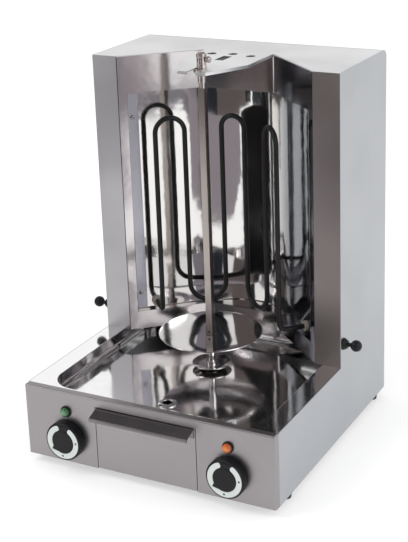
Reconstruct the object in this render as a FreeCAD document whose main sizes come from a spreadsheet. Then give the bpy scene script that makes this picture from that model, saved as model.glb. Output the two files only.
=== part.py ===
import FreeCAD, Part
import math
import os
import Sketcher

# Doner kebab grill, millimetres, +Z up, +Y to the rear, origin at the middle of the footprint on the table.
# Each sub-part is one object of the document, and its sizes come from the sheet below.

os.makedirs("parts", exist_ok=True)
Vector = FreeCAD.Vector
doc = FreeCAD.newDocument("doner_grill")
sheet = doc.addObject("Spreadsheet::Sheet", "Sizes")
sub_parts = []


class Size:
    """A length that knows its value and the formula, in words of the sheet, that gives it."""

    def __init__(self, value, text=None):
        self.value = float(value)
        self.text = text if text is not None else repr(round(float(value), 6))

    def _join(self, other, sign, result):
        other = as_size(other)
        return Size(result(self.value, other.value), "(%s %s %s)" % (self.text, sign, other.text))

    def __add__(self, other):
        return self._join(other, "+", lambda a, b: a + b)

    def __sub__(self, other):
        return self._join(other, "-", lambda a, b: a - b)

    def __mul__(self, other):
        return self._join(other, "*", lambda a, b: a * b)

    def __truediv__(self, other):
        return self._join(other, "/", lambda a, b: a / b)

    def __radd__(self, other):
        return as_size(other) + self

    def __rsub__(self, other):
        return as_size(other) - self

    def __rmul__(self, other):
        return as_size(other) * self

    def __neg__(self):
        return Size(-self.value, "(-1 * %s)" % self.text)


def as_size(number):
    """A plain number becomes a Size, and a Size stays as it is."""
    return number if isinstance(number, Size) else Size(number)


def cell(alias, value, note):
    """Put one driving dimension in the sheet, with its note, and return it as a Size."""
    row = cell.row
    cell.row += 1
    sheet.set("A%d" % row, note)
    sheet.set("B%d" % row, str(value))
    sheet.setAlias("B%d" % row, alias)
    return Size(value, "Sizes.%s" % alias)


cell.row = 1

# Housing
width = cell("overall_width", 400, "housing, side to side")
depth = cell("overall_depth", 412, "housing, front panel to back panel")
base_height = cell("base_height", 110, "base box, without the feet")
hood_height = cell("hood_height", 550, "whole housing, without the feet")
hood_depth = cell("hood_depth", 182, "tall box, front flange to back panel")
sheet_metal = cell("sheet_metal", 1.2, "steel sheet of the housing")
corner_radius = cell("corner_radius", 12, "rounded rear top corner of a side panel")
bend_radius = cell("bend_radius", 2.5, "outer radius of a bent edge")
side_return = cell("side_return", 12, "front panel, length bent back along the sides")
drawer_gap = cell("drawer_gap", 1, "gap round the drawer front")
tight_bend = cell("tight_bend", 1, "outer radius of the bend of a side panel")
foot_height = cell("foot_height", 14, "rubber foot")
foot_radius = cell("foot_radius", 10, "rubber foot, at the top")
foot_inset = cell("foot_inset", 14, "foot centre from the side panel")
foot_setback = cell("foot_setback", 60, "front foot centre from the front panel")
rear_foot_setback = cell("rear_foot_setback", 20, "rear foot centre from the back panel")
vent_slot_middle = cell("vent_slot_middle", 100, "middle of a cooling slot from the middle of the back")
vent_slot_half = cell("vent_slot_half", 45, "cooling slot, half its length")
vent_slot_height = cell("vent_slot_height", 4, "cooling slot, its height")
vent_slot_rise = cell("vent_slot_rise", 60, "lowest cooling slot above the tray")
vent_slot_span = cell("vent_slot_span", 120, "lowest to highest cooling slot")
screw_inset = cell("screw_inset", 8, "back panel screws from the side of the housing")
screw_head = cell("screw_head", 3.5, "pan head of a sheet metal screw")

# Hood front: two slanted wings and a short rear wall behind the spit
flange_width = cell("flange_width", 41.2, "front flange of a side panel")
wing_length = cell("wing_length", 133, "slanted wing of the hood front")
wing_angle = cell("wing_angle", 41.95, "slant of a wing from the front, degrees")
window_bottom = cell("window_bottom", 29, "lower edge of the heating window above the tray")
window_top = cell("window_top", 58, "upper edge of the heating window below the roof")
window_edge = cell("window_edge", 14, "strip of the wing beside the window")
reflector_gap = cell("reflector_gap", 7, "reflector behind the wings")
reflector_sheet = cell("reflector_sheet", 0.8, "polished sheet of the reflector")
strip_width = cell("strip_width", 17, "clamping strip of the reflector")
strip_inset = cell("strip_inset", 14.5, "clamping strip from the flange, along the wing")
strip_sheet = cell("strip_sheet", 1, "thickness of the clamping strip")
spacer_near = cell("spacer_near", 3, "reflector spacer, near side along the wing")
spacer_far = cell("spacer_far", 12, "reflector spacer, far side along the wing")
reflector_low = cell("reflector_low", 5, "lower edge of the reflector above the tray")
reflector_lap = cell("reflector_lap", 12, "reflector above the upper edge of the window")
ledge_gap = cell("ledge_gap", 0.3, "window ledge to the reflector")

# Nose over the spit
nose_half_width = cell("nose_half_width", 56, "nose plate, half its width")
nose_reach = cell("nose_reach", 58, "nose plate in front of the flanges")
nose_front_half = cell("nose_front_half", 22, "front edge of the nose, half its length")
nose_chamfer = cell("nose_chamfer", 68, "length of the slanted corner, front to back")
nose_skirt = cell("nose_skirt", 20, "skirt bent down round the nose")
nose_slot = cell("nose_slot", 13, "slot that the pin guide stands in")
steam_hole = cell("steam_hole", 7, "round steam hole, and half the square one")
steam_hole_side = cell("steam_hole_side", 32, "outer steam holes from the middle")
steam_hole_setback = cell("steam_hole_setback", 22, "outer steam holes in front of the rear wall")
middle_hole_setback = cell("middle_hole_setback", 16, "middle steam hole in front of the rear wall")
square_hole_near = cell("square_hole_near", 52, "square steam hole behind the spit axis")
square_hole_far = cell("square_hole_far", 82, "far edge of the square steam hole behind the spit axis")
clamp_inset = cell("clamp_inset", 10, "clamp screw behind the front of the hood")
clamp_rise = cell("clamp_rise", 35, "clamp screw above the tray")
clamp_ball = cell("clamp_ball", 8.5, "ball head of the clamp screw")
clamp_stem = cell("clamp_stem", 3, "stem of the clamp screw")

# Spit, dish and drive
spindle_setback = cell("spindle_setback", 204, "spit axis behind the front panel")
spit_side = cell("spit_side", 10, "square bar of the spit")
spit_top = cell("spit_top", 520, "top of the spit above the underside")
dish_radius = cell("dish_radius", 78, "meat dish")
dish_floor = cell("dish_floor", 140, "floor of the dish above the underside")
dish_rim = cell("dish_rim", 6, "rim of the dish above its floor")
shaft_radius = cell("shaft_radius", 5.5, "drive shaft")
running_gap = cell("running_gap", 0.05, "radial clearance of a running fit")
pin_radius = cell("pin_radius", 5, "top pin")
pin_tip = cell("pin_tip", 12, "length of the pin tip in the spit")
pin_tip_radius = cell("pin_tip_radius", 3, "pin tip in the spit")
sleeve_radius = cell("sleeve_radius", 7.5, "pin guide on the nose")
sleeve_height = cell("sleeve_height", 21, "pin guide above the nose")

# Tray and drawer
basin_depth = cell("basin_depth", 22, "deep drawn basin of the tray")
basin_side_land = cell("basin_side_land", 29, "flat land beside the basin")
basin_front_land = cell("basin_front_land", 13, "flat land in front of the basin")
basin_length = cell("basin_length", 312, "basin, front to back")
basin_corner = cell("basin_corner", 40, "basin corner radius")
floor_radius = cell("floor_radius", 8, "rounding between the basin wall and its floor")
drain_setback = cell("drain_setback", 66, "drain hole behind the front panel")
drain_radius = cell("drain_radius", 8, "drain hole")
bush_hole = cell("bush_hole", 10.1, "hole of the shaft bush in the basin")
drawer_width = cell("drawer_width", 160, "drawer front")
drawer_height = cell("drawer_height", 95, "drawer front")
drawer_length = cell("drawer_length", 150, "drawer pan")
pan_height = cell("pan_height", 62, "drawer pan, its height")
pan_sheet = cell("pan_sheet", 1, "sheet of the drawer pan")
pan_corner = cell("pan_corner", 6, "upright corner of the drawer pan")
pan_inset = cell("pan_inset", 4, "drawer pan from the end of the drawer front")
drawer_lift = cell("drawer_lift", 1.8, "drawer pan above the base plate")
handle_reach = cell("handle_reach", 22, "finger strip in front of the panel")

# Controls
knob_offset = cell("knob_offset", 130, "knob axis from the middle")
knob_rise = cell("knob_rise", 37.5, "knob axis above the underside")
knob_radius = cell("knob_radius", 29, "control knob")
knob_length = cell("knob_length", 14, "control knob, out from the panel")
dial_inner = cell("dial_inner", 18, "pale dial ring, inside")
dial_outer = cell("dial_outer", 26, "pale dial ring, outside")
dial_depth = cell("dial_depth", 0.8, "dial ring, let into the knob by its thickness")
dial_play = cell("dial_play", 0.1, "play of the dial ring in its groove")
notch_tip = cell("notch_tip", 23.6, "tip of the pointer's notch in the dial ring")
spindle_radius = cell("spindle_radius", 3, "spindle of a knob")
spindle_hole = cell("spindle_hole", 5, "hole of a spindle in the front panel")
lamp_rise = cell("lamp_rise", 80, "lamp axis above the underside")
lamp_radius = cell("lamp_radius", 8.5, "lamp bezel")
lamp_neck = cell("lamp_neck", 6.4, "lamp behind the panel")
lamp_play = cell("lamp_play", 0.2, "play of the lamp in its hole")
gland_thread = cell("gland_thread", 8, "thread of the cable gland")
gland_play = cell("gland_play", 0.1, "play of the gland in its hole")

# Heater
tube_radius = cell("tube_radius", 3.8, "heater tube")
heater_top = cell("heater_top", 458, "crown of the upper bends above the underside")
heater_low = cell("heater_low", 163, "crown of the lower bends above the underside")
heater_entry = cell("heater_entry", 151, "height of the heater ends above the underside")
heater_bend = cell("heater_bend", 12, "bend of the heater ends to the rear")
heater_run = cell("heater_run", 62, "heater ends behind their legs")
bush_collar = cell("bush_collar", 8, "ceramic bush before the reflector")
bush_neck = cell("bush_neck", 6, "ceramic bush in the reflector")
bush_start = cell("bush_start", 40, "front of the ceramic bush behind the heater leg")

# Heights and places that follow from these
floor_z = foot_height
tray_z = foot_height + base_height
roof_z = foot_height + hood_height
front_y = -depth / 2
back_y = depth / 2
hood_y = back_y - hood_depth
side_x = width / 2
axis_y = front_y + spindle_setback
flange_x = side_x - flange_width
wing_cos = Size(math.cos(math.radians(wing_angle.value)), "cos(Sizes.wing_angle * 1 deg)")
wing_sin = Size(math.sin(math.radians(wing_angle.value)), "sin(Sizes.wing_angle * 1 deg)")
rear_wall_y = hood_y + wing_sin * wing_length
rear_wall_x = flange_x - wing_cos * wing_length
basin_z = tray_z - basin_depth
lip_y = front_y + basin_front_land - 2
side_y = front_y + side_return
roof_back = back_y - corner_radius - 2
knob_z = foot_height + knob_rise

# Heater legs of the right half, from the middle outward: places across and behind the spit axis
HEATER_LEGS = [(19.0, 91.0), (66.0, 61.0), (99.4, 30.6)]

# Hours of the dial, read as on a clock: its open top and the notch of its pointer
DIAL_OPEN = (11.5, 0.85)
NOTCH_TIP = 7.8
NOTCH_SIDES = (8.15, 6.9)

# Rows and heights that repeat
VENT_ROWS = 9
PANEL_SCREW_HEIGHTS = (40, 125, 290, 440, 535)
STRIP_SCREW_HEIGHTS = (168, 453)

# Square distance of a wing from the spit axis, and the place along the wing where it is measured
hood_reach = wing_sin * flange_x + wing_cos * (hood_y - axis_y)
wing_touch = wing_cos * flange_x - wing_sin * (hood_y - axis_y)

# Way from the outer heater leg, square to the wing, to the front of the reflector
leg_inset = wing_sin * (flange_x - HEATER_LEGS[-1][0])
leg_offset = wing_cos * (hood_y - axis_y - HEATER_LEGS[-1][1])
reflector_stand = leg_inset + leg_offset + sheet_metal + reflector_gap


def bind(thing, prop, size):
    """Bind one property to its formula."""
    thing.setExpression(prop, as_size(size).text)


def move(thing, x=None, y=None, z=None):
    """Bind the place of a sub-part."""
    for name, size in (("x", x), ("y", y), ("z", z)):
        if size is not None:
            bind(thing, "Placement.Base.%s" % name, size)


def keep(thing, label):
    """Name a finished sub-part and list it for its file."""
    thing.Label = label
    sub_parts.append(thing)
    return thing


def new_body(label):
    return keep(doc.addObject("PartDesign::Body", label), label)


def sketch(body, plane, offset=0):
    """An empty sketch on XY at height z, on XZ at depth y or on YZ at x."""
    support = next(f for f in body.Origin.OriginFeatures if f.Role == plane + "_Plane")
    drawing = body.newObject("Sketcher::SketchObject", body.Name + "_sketch")
    drawing.AttachmentSupport = (support, [""])
    drawing.MapMode = "FlatFace"
    distance = -as_size(offset) if plane == "XZ" else as_size(offset)
    bind(drawing, ".AttachmentOffset.Base.z", distance)
    return drawing


def pin_point(drawing, line, end, x, y):
    """Hold one point of a sketch at x, y."""
    for kind, size in (("DistanceX", as_size(x)), ("DistanceY", as_size(y))):
        number = drawing.addConstraint(Sketcher.Constraint(kind, -1, 1, line, end, size.value))
        bind(drawing, "Constraints[%d]" % number, size)


def polygon(drawing, points):
    """A closed outline of straight lines through the points."""
    first = drawing.GeometryCount
    count = len(points)
    corners = [Vector(as_size(x).value, as_size(y).value, 0) for x, y in points]
    for i in range(count):
        drawing.addGeometry(Part.LineSegment(corners[i], corners[(i + 1) % count]))
    for i in range(count):
        drawing.addConstraint(Sketcher.Constraint("Coincident", first + i, 2, first + (i + 1) % count, 1))
    for i, (x, y) in enumerate(points):
        pin_point(drawing, first + i, 1, x, y)


def rectangle(drawing, x0, y0, x1, y1):
    polygon(drawing, [(x0, y0), (x1, y0), (x1, y1), (x0, y1)])


def rounded_rectangle(drawing, x0, y0, x1, y1, radius):
    """A rectangle whose corners are arcs of one radius."""
    x0, y0, x1, y1, radius = [as_size(v) for v in (x0, y0, x1, y1, radius)]
    sides = [((x0 + radius, y0), (x1 - radius, y0)), ((x1, y0 + radius), (x1, y1 - radius)),
             ((x1 - radius, y1), (x0 + radius, y1)), ((x0, y1 - radius), (x0, y0 + radius))]
    middles = [(x1 - radius, y0 + radius), (x1 - radius, y1 - radius),
               (x0 + radius, y1 - radius), (x0 + radius, y0 + radius)]
    first = drawing.GeometryCount
    for a, b in sides:
        drawing.addGeometry(Part.LineSegment(*[Vector(x.value, y.value, 0) for x, y in (a, b)]))
    for i, (x, y) in enumerate(middles):
        ring = Part.Circle(Vector(x.value, y.value, 0), Vector(0, 0, 1), radius.value)
        start = math.pi * (i - 1) / 2
        drawing.addGeometry(Part.ArcOfCircle(ring, start, start + math.pi / 2))
    for i, (a, b) in enumerate(sides):
        pin_point(drawing, first + i, 1, *a)
        pin_point(drawing, first + i, 2, *b)
        arc = first + 4 + i
        drawing.addConstraint(Sketcher.Constraint("Coincident", first + i, 2, arc, 1))
        drawing.addConstraint(Sketcher.Constraint("Coincident", first + (i + 1) % 4, 1, arc, 2))
        number = drawing.addConstraint(Sketcher.Constraint("Radius", arc, radius.value))
        bind(drawing, "Constraints[%d]" % number, radius)


def circle(drawing, x, y, radius):
    place = Vector(as_size(x).value, as_size(y).value, 0)
    line = drawing.addGeometry(Part.Circle(place, Vector(0, 0, 1), as_size(radius).value))
    pin_point(drawing, line, 3, x, y)
    number = drawing.addConstraint(Sketcher.Constraint("Radius", line, as_size(radius).value))
    bind(drawing, "Constraints[%d]" % number, radius)


def pad(body, drawing, length, reverse=False, both_ways=False):
    """Add material along the sketch's normal: up, to the front, or to the right."""
    feature = body.newObject("PartDesign::Pad", body.Name + "_pad")
    feature.Profile = drawing
    bind(feature, "Length", length)
    feature.Reversed = reverse
    if both_ways:
        feature.SideType = "Symmetric"
    return feature


def pocket(body, drawing, length=None, reverse=False):
    """Cut against the sketch's normal, or right through both ways when no length is given."""
    feature = body.newObject("PartDesign::Pocket", body.Name + "_pocket")
    feature.Profile = drawing
    if length is None:
        feature.Type = "ThroughAll"
        feature.SideType = "Symmetric"
    else:
        bind(feature, "Length", length)
        feature.Reversed = reverse
    return feature


def fillet(body, radius, wanted):
    """Round the edges of the body for which wanted(edge) is true."""
    doc.recompute()
    base = body.Tip
    names = ["Edge%d" % (i + 1) for i, edge in enumerate(base.Shape.Edges) if wanted(edge)]
    feature = body.newObject("PartDesign::Fillet", body.Name + "_fillet")
    feature.Base = (base, names)
    bind(feature, "Radius", radius)
    body.Tip = feature
    return feature


def upright(edge):
    """True for a straight vertical edge."""
    box = edge.BoundBox
    return box.ZLength > 1 and box.XLength < 0.01 and box.YLength < 0.01


def along_y(edge):
    """True for a straight edge from front to back."""
    box = edge.BoundBox
    return box.YLength > 0.1 and box.XLength < 0.01 and box.ZLength < 0.01


def turned(label, outline, axis="Z"):
    """A piece turned round an axis, from (radius, along) points."""
    body = new_body(label)
    if axis == "Z":
        drawing = sketch(body, "XZ")
        polygon(drawing, outline)
    elif axis == "Y":
        drawing = sketch(body, "XY")
        polygon(drawing, outline)
    else:
        drawing = sketch(body, "XY")
        polygon(drawing, [(along, radius) for radius, along in outline])
    feature = body.newObject("PartDesign::Revolution", body.Name + "_turn")
    feature.Profile = drawing
    feature.ReferenceAxis = (drawing, ["H_Axis" if axis == "X" else "V_Axis"])
    feature.Angle = 360
    return body


def box(label, x0, y0, z0, x1, y1, z1):
    """A block between two corners."""
    block = doc.addObject("Part::Box", label)
    bind(block, "Length", x1 - as_size(x0))
    bind(block, "Width", y1 - as_size(y0))
    bind(block, "Height", z1 - as_size(z0))
    move(block, x0, y0, z0)
    return block


def rod(label, radius, length, x, y, z, turn=None):
    """A round bar from x, y, z upward, or along another axis when it is turned."""
    bar = doc.addObject("Part::Cylinder", label)
    bind(bar, "Radius", radius)
    bind(bar, "Height", length)
    if turn is not None:
        bar.Placement.Rotation = turn
    move(bar, x, y, z)
    return bar


TO_BACK = FreeCAD.Rotation(Vector(1, 0, 0), -90)
TO_RIGHT = FreeCAD.Rotation(Vector(0, 1, 0), 90)


def cut(label, base, tools):
    """Base less the tools."""
    result = base
    for i, tool in enumerate(tools):
        feature = doc.addObject("Part::Cut", "%s_cut%d" % (label, i))
        feature.Base = result
        feature.Tool = tool
        result = feature
    return result


def joined(label, shapes):
    feature = doc.addObject("Part::MultiFuse", label)
    feature.Shapes = shapes
    return feature


def wing_point(side, along, behind):
    """A place on a slanted wing: along it from its flange, and behind its front face."""
    x = flange_x - wing_cos * along + wing_sin * behind
    y = hood_y + wing_sin * along + wing_cos * behind
    return (side * x, y)


# Housing panels

def front_panel():
    """Front sheet with the drawer notch, the knob and lamp holes, and three edges bent back."""
    body = new_body("front_panel")
    drawing = sketch(body, "XZ", front_y)
    half = drawer_width / 2 + drawer_gap
    notch = floor_z + drawer_height + 2
    polygon(drawing, [(-side_x, floor_z), (-half, floor_z), (-half, notch), (half, notch),
                      (half, floor_z), (side_x, floor_z), (side_x, tray_z), (-side_x, tray_z)])
    pad(body, drawing, sheet_metal, reverse=True)
    lip = sketch(body, "XY", tray_z)
    rectangle(lip, -side_x, front_y, side_x, lip_y)
    pad(body, lip, sheet_metal, reverse=True)
    ends = sketch(body, "XY", floor_z)
    rectangle(ends, -side_x, front_y, sheet_metal - side_x, side_y)
    rectangle(ends, side_x - sheet_metal, front_y, side_x, side_y)
    pad(body, ends, base_height)
    fillet(body, bend_radius, lambda e: e.BoundBox.XLength > 300
           and abs(e.BoundBox.ZMax - tray_z.value) < 0.01 and abs(e.BoundBox.YMin - front_y.value) < 0.01)
    fillet(body, bend_radius, lambda e: upright(e) and abs(e.BoundBox.YMin - front_y.value) < 0.01
           and abs(abs(e.BoundBox.XMin) - side_x.value) < 0.01)
    holes = sketch(body, "XZ", front_y)
    for side in (-1, 1):
        circle(holes, side * knob_offset, knob_z, spindle_hole)
        circle(holes, side * knob_offset, foot_height + lamp_rise, lamp_neck + lamp_play)
    pocket(body, holes)
    return body


def side_panel(label, side):
    """One bent sheet: the low base, the tall hood, its front flange and the hole of the clamp screw."""
    body = new_body(label)
    outer = side * side_x
    inner_start = outer if side < 0 else outer - sheet_metal
    drawing = sketch(body, "YZ", inner_start)
    polygon(drawing, [(side_y, floor_z), (back_y, floor_z), (back_y, roof_z), (hood_y, roof_z),
                      (hood_y, tray_z), (side_y, tray_z)])
    pad(body, drawing, sheet_metal)
    flange = sketch(body, "XZ", hood_y)
    rectangle(flange, side * flange_x, tray_z, outer, roof_z)
    pad(body, flange, sheet_metal, reverse=True)
    fillet(body, corner_radius, lambda e: e.BoundBox.XLength > 1 and e.BoundBox.YLength < 0.01
           and e.BoundBox.ZMin > roof_z.value - 0.01 and e.BoundBox.YMin > back_y.value - 0.01)
    fillet(body, tight_bend, lambda e: upright(e) and e.BoundBox.ZLength > 300
           and abs(e.BoundBox.YMin - hood_y.value) < 0.01 and abs(e.BoundBox.XMin - outer.value) < 0.01)
    hole = sketch(body, "YZ")
    circle(hole, hood_y + clamp_inset, tray_z + clamp_rise, clamp_stem + 0.1)
    pocket(body, hole)
    return body


def back_panel():
    """Rear sheet, rolled over at the top, with the cooling slots and the hole for the cable gland."""
    body = new_body("back_panel")
    drawing = sketch(body, "XZ", back_y)
    edge = side_x - sheet_metal
    rectangle(drawing, -edge, floor_z + sheet_metal, edge, roof_z)
    pad(body, drawing, sheet_metal)
    turn = sketch(body, "XY", roof_z)
    rectangle(turn, -edge, roof_back, edge, back_y)
    pad(body, turn, sheet_metal, reverse=True)
    inside = (back_y - sheet_metal).value
    fillet(body, corner_radius - sheet_metal, lambda e: e.BoundBox.XLength > 300
           and abs(e.BoundBox.YMin - inside) < 0.01 and e.BoundBox.ZMin > roof_z.value - 5)
    fillet(body, corner_radius, lambda e: e.BoundBox.XLength > 300
           and abs(e.BoundBox.YMin - back_y.value) < 0.01 and e.BoundBox.ZMin > roof_z.value - 5)
    hole = sketch(body, "XZ", back_y)
    circle(hole, knob_offset, knob_z, gland_thread + gland_play)
    pocket(body, hole)
    slots = sketch(body, "XZ", back_y)
    low = tray_z + vent_slot_rise
    for side in (-1, 1):
        middle = side * vent_slot_middle
        rectangle(slots, middle - vent_slot_half, low, middle + vent_slot_half, low + vent_slot_height)
    first = pocket(body, slots)
    doc.recompute()
    rows = body.newObject("PartDesign::LinearPattern", "slot_rows")
    rows.Originals = [first]
    rows.Direction = (slots, ["V_Axis"])
    bind(rows, "Length", vent_slot_span)
    rows.Occurrences = VENT_ROWS
    body.Tip = rows
    return body


def roof_panel(label, side):
    """Top sheet of one side of the hood, with its slanted front edge along the wing."""
    body = new_body(label)
    drawing = sketch(body, "XY", roof_z - sheet_metal)
    edge = side_x - sheet_metal
    inner = nose_half_width + 0.2
    front = hood_y + sheet_metal
    step = rear_wall_y + sheet_metal
    polygon(drawing, [(side * edge, front), (side * flange_x, front), (side * rear_wall_x, step),
                      (side * inner, step), (side * inner, roof_back), (side * edge, roof_back)])
    pad(body, drawing, sheet_metal)
    return body


def nose_plate():
    """Top plate of the nose: a bent skirt, the pin slot, three round holes and a square one."""
    body = new_body("nose_plate")
    half = nose_half_width
    tip_y = hood_y - nose_reach
    outline = [(-half, rear_wall_y - 0.5), (-half, tip_y + nose_chamfer), (-nose_front_half, tip_y),
               (nose_front_half, tip_y), (half, tip_y + nose_chamfer), (half, rear_wall_y - 0.5)]
    drawing = sketch(body, "XY", roof_z - nose_skirt)
    polygon(drawing, outline)
    pad(body, drawing, nose_skirt)
    fillet(body, bend_radius + 2, lambda e: upright(e) and e.BoundBox.YMin < rear_wall_y.value - 5)
    inset = half - sheet_metal
    hollow = sketch(body, "XY", roof_z - sheet_metal)
    slant = sheet_metal * 0.65
    shoulder = tip_y + nose_chamfer + slant
    tip = nose_front_half - slant
    polygon(hollow, [(-inset, rear_wall_y + 5), (-inset, shoulder), (-tip, tip_y + sheet_metal),
                     (tip, tip_y + sheet_metal), (inset, shoulder), (inset, rear_wall_y + 5)])
    pocket(body, hollow, nose_skirt + 5)
    rear = sketch(body, "XY", roof_z - sheet_metal)
    rectangle(rear, -half, rear_wall_y - 2, half, roof_back)
    pad(body, rear, sheet_metal)
    holes = sketch(body, "XY", roof_z)
    for side in (-1, 1):
        circle(holes, side * steam_hole_side, rear_wall_y - steam_hole_setback, steam_hole)
    circle(holes, 0, rear_wall_y - middle_hole_setback, steam_hole)
    rectangle(holes, -steam_hole, axis_y + square_hole_near, steam_hole, axis_y + square_hole_far)
    pocket(body, holes, 5)
    slot = sketch(body, "XY", roof_z)
    rectangle(slot, -nose_slot / 2, tip_y - 5, nose_slot / 2, axis_y)
    pocket(body, slot, nose_skirt + 5)
    round_end = sketch(body, "XY", roof_z)
    circle(round_end, 0, axis_y, nose_slot / 2)
    pocket(body, round_end, 5)
    return body


def mitre_length():
    """Length of a wing along its rear face, up to the fold of the short rear wall."""
    return wing_length + sheet_metal * (1 - wing_cos) / wing_sin


def hood_front():
    """Folded sheet behind the spit: header, side strips and sill round the heating window."""
    body = new_body("hood_front")
    drawing = sketch(body, "XY", tray_z)
    mitre = mitre_length()
    outline = []
    for side in (-1, 1):
        front = [wing_point(side, sheet_metal, 0), (side * rear_wall_x, rear_wall_y)]
        rear = [wing_point(side, mitre, sheet_metal), wing_point(side, sheet_metal, sheet_metal)]
        outline.append((front, rear))
    (left_front, left_rear), (right_front, right_rear) = outline
    polygon(drawing, left_front + right_front[::-1] + right_rear[::-1] + left_rear)
    pad(body, drawing, hood_height - base_height - sheet_metal)
    fillet(body, 8, lambda e: upright(e) and abs(e.BoundBox.YMin - rear_wall_y.value) < 0.01)
    window = sketch(body, "XZ")
    reach = flange_x - wing_cos * window_edge
    rectangle(window, -reach, tray_z + window_bottom, reach, roof_z - window_top)
    pocket(body, window)
    return body


def window_ledge():
    """Flat ledge that closes the gap between the sill of the hood front and the reflector."""
    body = new_body("window_ledge")
    low = tray_z + window_bottom - 2 * sheet_metal
    behind = sheet_metal + reflector_gap - ledge_gap
    disc = sketch(body, "XY", low)
    radius = hood_reach + behind
    circle(disc, 0, axis_y, radius)
    pad(body, disc, sheet_metal)
    before = sketch(body, "XY", low)
    left = [wing_point(-1, along, sheet_metal) for along in (-spacer_far, mitre_length())]
    right = [wing_point(1, along, sheet_metal) for along in (mitre_length(), -spacer_far)]
    polygon(before, [(-width, -depth)] + left + right + [(width, -depth)])
    pocket(body, before)
    start = spacer_far + sheet_metal
    for side in (-1, 1):
        strip = sketch(body, "XY", low)
        polygon(strip, [wing_point(side, start, sheet_metal), wing_point(side, wing_touch, sheet_metal),
                        wing_point(side, wing_touch, behind), wing_point(side, start, behind)])
        pad(body, strip, sheet_metal)
    return body


def base_plate():
    """Floor sheet of the base."""
    edge = side_x - sheet_metal
    return keep(box("base_plate", -edge, front_y + sheet_metal, floor_z, edge, back_y - sheet_metal,
                    floor_z + sheet_metal), "base_plate")


def tray():
    """Top sheet of the base with the deep drawn basin, its drain hole and its shaft hole."""
    body = new_body("tray")
    edge = side_x - sheet_metal
    front = front_y + basin_front_land
    plate = sketch(body, "XY", tray_z - sheet_metal)
    rectangle(plate, -edge, front - 2, edge, back_y - sheet_metal)
    pad(body, plate, sheet_metal)
    bowl = sketch(body, "XY", tray_z - sheet_metal)
    reach = side_x - basin_side_land
    rounded_rectangle(bowl, -reach, front, reach, front + basin_length, basin_corner)
    pad(body, bowl, basin_depth, reverse=True)
    inner = sketch(body, "XY", tray_z)
    gap = sheet_metal
    rounded_rectangle(inner, gap - reach, front + gap, reach - gap, front + basin_length - gap,
                      basin_corner - gap)
    pocket(body, inner, basin_depth)
    fillet(body, floor_radius, lambda e: abs(e.BoundBox.ZMin - basin_z.value) < 0.01
           and e.BoundBox.ZLength < 0.01)
    fillet(body, floor_radius + sheet_metal, lambda e: e.BoundBox.ZMax < basin_z.value - 0.5)
    rear = (front + basin_length).value
    rim = FreeCAD.BoundBox(-reach.value, front.value, 0, reach.value, rear, roof_z.value)
    fillet(body, sheet_metal * 0.9, lambda e: abs(e.BoundBox.ZMin - tray_z.value) < 0.01
           and e.BoundBox.ZLength < 0.01 and rim.isInside(e.BoundBox))
    holes = sketch(body, "XY", tray_z)
    circle(holes, 0, front_y + drain_setback, drain_radius)
    circle(holes, 0, axis_y, bush_hole)
    pocket(body, holes, basin_depth + 10)
    return body


# Table level pieces

def feet():
    """Four rubber feet under the base plate, wider at the top."""
    places = {"front_left": (-1, front_y + foot_setback), "front_right": (1, front_y + foot_setback),
              "rear_left": (-1, back_y - rear_foot_setback), "rear_right": (1, back_y - rear_foot_setback)}
    for name, (side, y) in places.items():
        foot = turned("foot_" + name, [(0, 2), (4, 2), (4, 0), (foot_radius - 2, 0),
                                       (foot_radius, foot_height), (0, foot_height)])
        move(foot, side * (side_x - foot_inset), y)


def drain_ring():
    """Raised bright collar pressed into the drain hole."""
    r = drain_radius
    ring = turned("drain_ring", [(r - 1, -6), (r - 0.1, -6), (r - 0.1, 0), (r + 6, 0), (r + 6, 1),
                                 (r + 3, 3), (r, 3), (r - 1, 2)])
    move(ring, 0, front_y + drain_setback, basin_z)


# Drive line under the dish

def drive_line():
    """Shaft bush, shaft, driving saucer, dish, spit and gear motor, all on the spit axis."""
    bush = turned("shaft_bush", [(shaft_radius + running_gap, -9), (10, -9), (10, 0), (13, 0), (13, 1.2),
                                 (11, 2), (shaft_radius + running_gap, 2)])
    move(bush, 0, axis_y, basin_z)
    dish_z = foot_height + dish_floor
    shaft = turned("drive_shaft", [(0, 66), (shaft_radius, 66), (shaft_radius, dish_z - 1.2),
                                   (3.5, dish_z - 1.2), (3.5, dish_z + 0.6), (0, dish_z + 0.6)])
    move(shaft, 0, axis_y)
    hub = shaft_radius
    saucer = turned("drive_saucer", [(hub, 3), (20, 3), (29, 6.2), (30, 7.4), (29.4, 8), (28, 7.4),
                                     (19.6, 4.4), (9, 4.4), (8.5, 10), (hub, 10)])
    move(saucer, 0, axis_y, basin_z)
    r = dish_radius
    dish = turned("meat_dish", [(3.5, -1.2), (r - 5, -1.2), (r - 2, 0.4), (r - 0.4, dish_rim - 1.2),
                                (r, dish_rim - 0.4), (r - 0.8, dish_rim), (r - 1.8, dish_rim - 1),
                                (r - 3.4, 1.4), (r - 5.6, 0), (3.5, 0)])
    move(dish, 0, axis_y, dish_z)
    spit()
    gear_motor()


def spit():
    """Square bar with the locking hole at its foot and the bore for the top pin."""
    foot = foot_height + dish_floor + 0.7
    head = foot_height + spit_top
    half = spit_side / 2
    bar = box("spit_bar", -half, axis_y - half, foot, half, axis_y + half, head)
    bore = rod("spit_bore", pin_tip_radius + running_gap, pin_tip + 1, 0, axis_y, head - pin_tip - 1)
    hole = rod("spit_hole", 1.6, 3 * spit_side, 0, axis_y - 1.5 * spit_side, foot + half, TO_BACK)
    keep(cut("spit", bar, [bore, hole]), "spit")


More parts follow.
